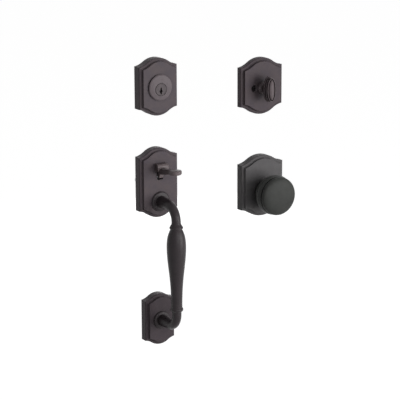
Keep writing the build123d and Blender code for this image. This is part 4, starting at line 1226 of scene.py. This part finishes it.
def direction(azimuth: float, elevation: float) -> Vector:
    """Gives the way from the set to a camera or a lamp.

    Args:
        azimuth: Degrees to the right of straight in front.
        elevation: Degrees above the level.

    Returns:
        A vector of length one.
    """
    turn, rise = math.radians(azimuth), math.radians(elevation)
    return Vector((math.sin(turn) * math.cos(rise), -math.cos(turn) * math.cos(rise), math.sin(rise)))


@dataclass
class StudioCamera:
    """The camera of the catalogue picture: to the left of the set and a little above it."""

    azimuth: float = -31.0
    elevation: float = 13.95
    roll: float = -0.24
    distance: float = 2.6
    focal_px: float = 1733.0
    frame_px: float = 400.0
    sensor_mm: float = 36.0
    sight: float = 50.0
    target: tuple[float, float, float] = (0.078, 0.0, -0.0392)

    def build(self) -> None:
        """Makes the camera and hands it to the scene."""
        roll = math.radians(self.roll)
        back = direction(self.azimuth, self.elevation)
        right = (-back).cross(Vector((0, 0, 1))).normalized()
        up = right.cross(-back)
        x_axis = math.cos(roll) * right + math.sin(roll) * up
        y_axis = math.cos(roll) * up - math.sin(roll) * right
        lens = bpy.data.cameras.new("studio_camera")
        lens.sensor_width = self.sensor_mm
        lens.lens = self.sensor_mm * self.focal_px / self.frame_px
        lens.clip_end = self.sight
        camera = place("studio_camera", lens)
        facing = Matrix((x_axis, y_axis, back)).transposed().to_4x4()
        camera.matrix_world = Matrix.Translation(Vector(self.target) + back * self.distance) @ facing
        bpy.context.scene.camera = camera


@dataclass(frozen=True)
class SoftBox:
    """One large soft lamp that looks at the middle of the set."""

    name: str
    azimuth: float
    elevation: float
    distance: float
    size: float
    power: float

    def build(self, target: Vector) -> None:
        """Makes the lamp.

        Args:
            target: The point that the lamp looks at.
        """
        away = direction(self.azimuth, self.elevation)
        light = bpy.data.lights.new(self.name, "AREA")
        light.shape = "SQUARE"
        light.size = self.size
        light.energy = self.power
        lamp = place(self.name, light)
        aim = away.to_track_quat("Z", "Y").to_matrix().to_4x4()
        lamp.matrix_world = Matrix.Translation(target + away * self.distance) @ aim


def seen_by_eye(tree: NodeTree) -> Node:
    """Tells what the eye sees, straight, in a gloss or through glass, from what only gives light.

    Args:
        tree: The tree of a material or of the world.

    Returns:
        The node that is 1 for what is seen and 0 for what only gives light.
    """
    ray = add_node(tree, "ShaderNodeLightPath").outputs
    seen = add_node(tree, MATH, {0: ray["Is Camera Ray"], 1: ray["Is Glossy Ray"]}, operation="MAXIMUM")
    return add_node(tree, MATH, {0: seen, 1: ray["Is Transmission Ray"]}, operation="MAXIMUM")


@dataclass
class Studio:
    """Floor, surroundings and lamps: plain, pale and soft."""

    floor_z: float = -0.62
    floor_half: float = 14.0
    floor_tone: str = "#969696"
    floor_glow: float = 0.985
    ambient: float = 0.015
    target: tuple[float, float, float] = (0.078, -0.03, -0.04)
    lamps: tuple[SoftBox, ...] = (
        SoftBox("right_softbox", 35.0, 4.0, 2.4, 1.6, 36.5),
        SoftBox("front_softbox", -8.0, 12.0, 2.4, 1.5, 15.5),
        SoftBox("top_softbox", 0.0, 70.0, 2.4, 1.3, 1.0),
        SoftBox("rear_softbox", 160.0, 0.0, 2.4, 1.1, 9.0),
    )

    def build_floor(self) -> None:
        """Makes the pale floor, which looks white where the lamps reach it and keeps the shadow."""
        mesh = bpy.data.meshes.new("studio_floor")
        half = self.floor_half
        corners = [(-half, -half), (half, -half), (half, half), (-half, half)]
        mesh.from_pydata([(x, y, self.floor_z) for x, y in corners], [], [(0, 1, 2, 3)])
        floor = place("studio_floor", mesh)
        material, tree = empty_material("white_paper_floor")
        lift = add_node(tree, MATH, {0: seen_by_eye(tree), 1: self.floor_glow}, operation="MULTIPLY")
        glow = add_node(tree, "ShaderNodeEmission", {"Color": linear(WHITE), "Strength": lift})
        paper = add_node(tree, "ShaderNodeBsdfDiffuse", {"Color": linear(self.floor_tone)})
        both = add_node(tree, "ShaderNodeAddShader", {0: paper, 1: glow})
        add_node(tree, "ShaderNodeOutputMaterial", {"Surface": both})
        mesh.materials.append(material)

    def build_surroundings(self) -> None:
        """Makes the world: white to the eye, soft grey as a light."""
        world = bpy.data.worlds.new("studio_surroundings")
        world.use_nodes = True
        tree = world.node_tree
        tree.nodes.clear()
        shades = {"Value": seen_by_eye(tree), "To Min": self.ambient, "To Max": 1.0}
        level = add_node(tree, "ShaderNodeMapRange", shades)
        paper = add_node(tree, "ShaderNodeBackground", {"Color": linear(WHITE), "Strength": level})
        add_node(tree, "ShaderNodeOutputWorld", {"Surface": paper})
        bpy.context.scene.world = world

    def build(self) -> None:
        """Makes floor, surroundings and lamps."""
        self.build_floor()
        self.build_surroundings()
        for lamp in self.lamps:
            lamp.build(Vector(self.target))
        bpy.context.scene.view_settings.view_transform = "Standard"


def main() -> None:
    """Builds the picture, piece by piece."""
    StudioCamera().build()
    Studio().build()
    workshop = Workshop()
    for member in (KeyedTrim, ThumbturnTrim, GripHandle, InsideKnob):
        member(workshop).build()
        log.info("%s is done", member.__name__)


if __name__ == "__main__":
    main()
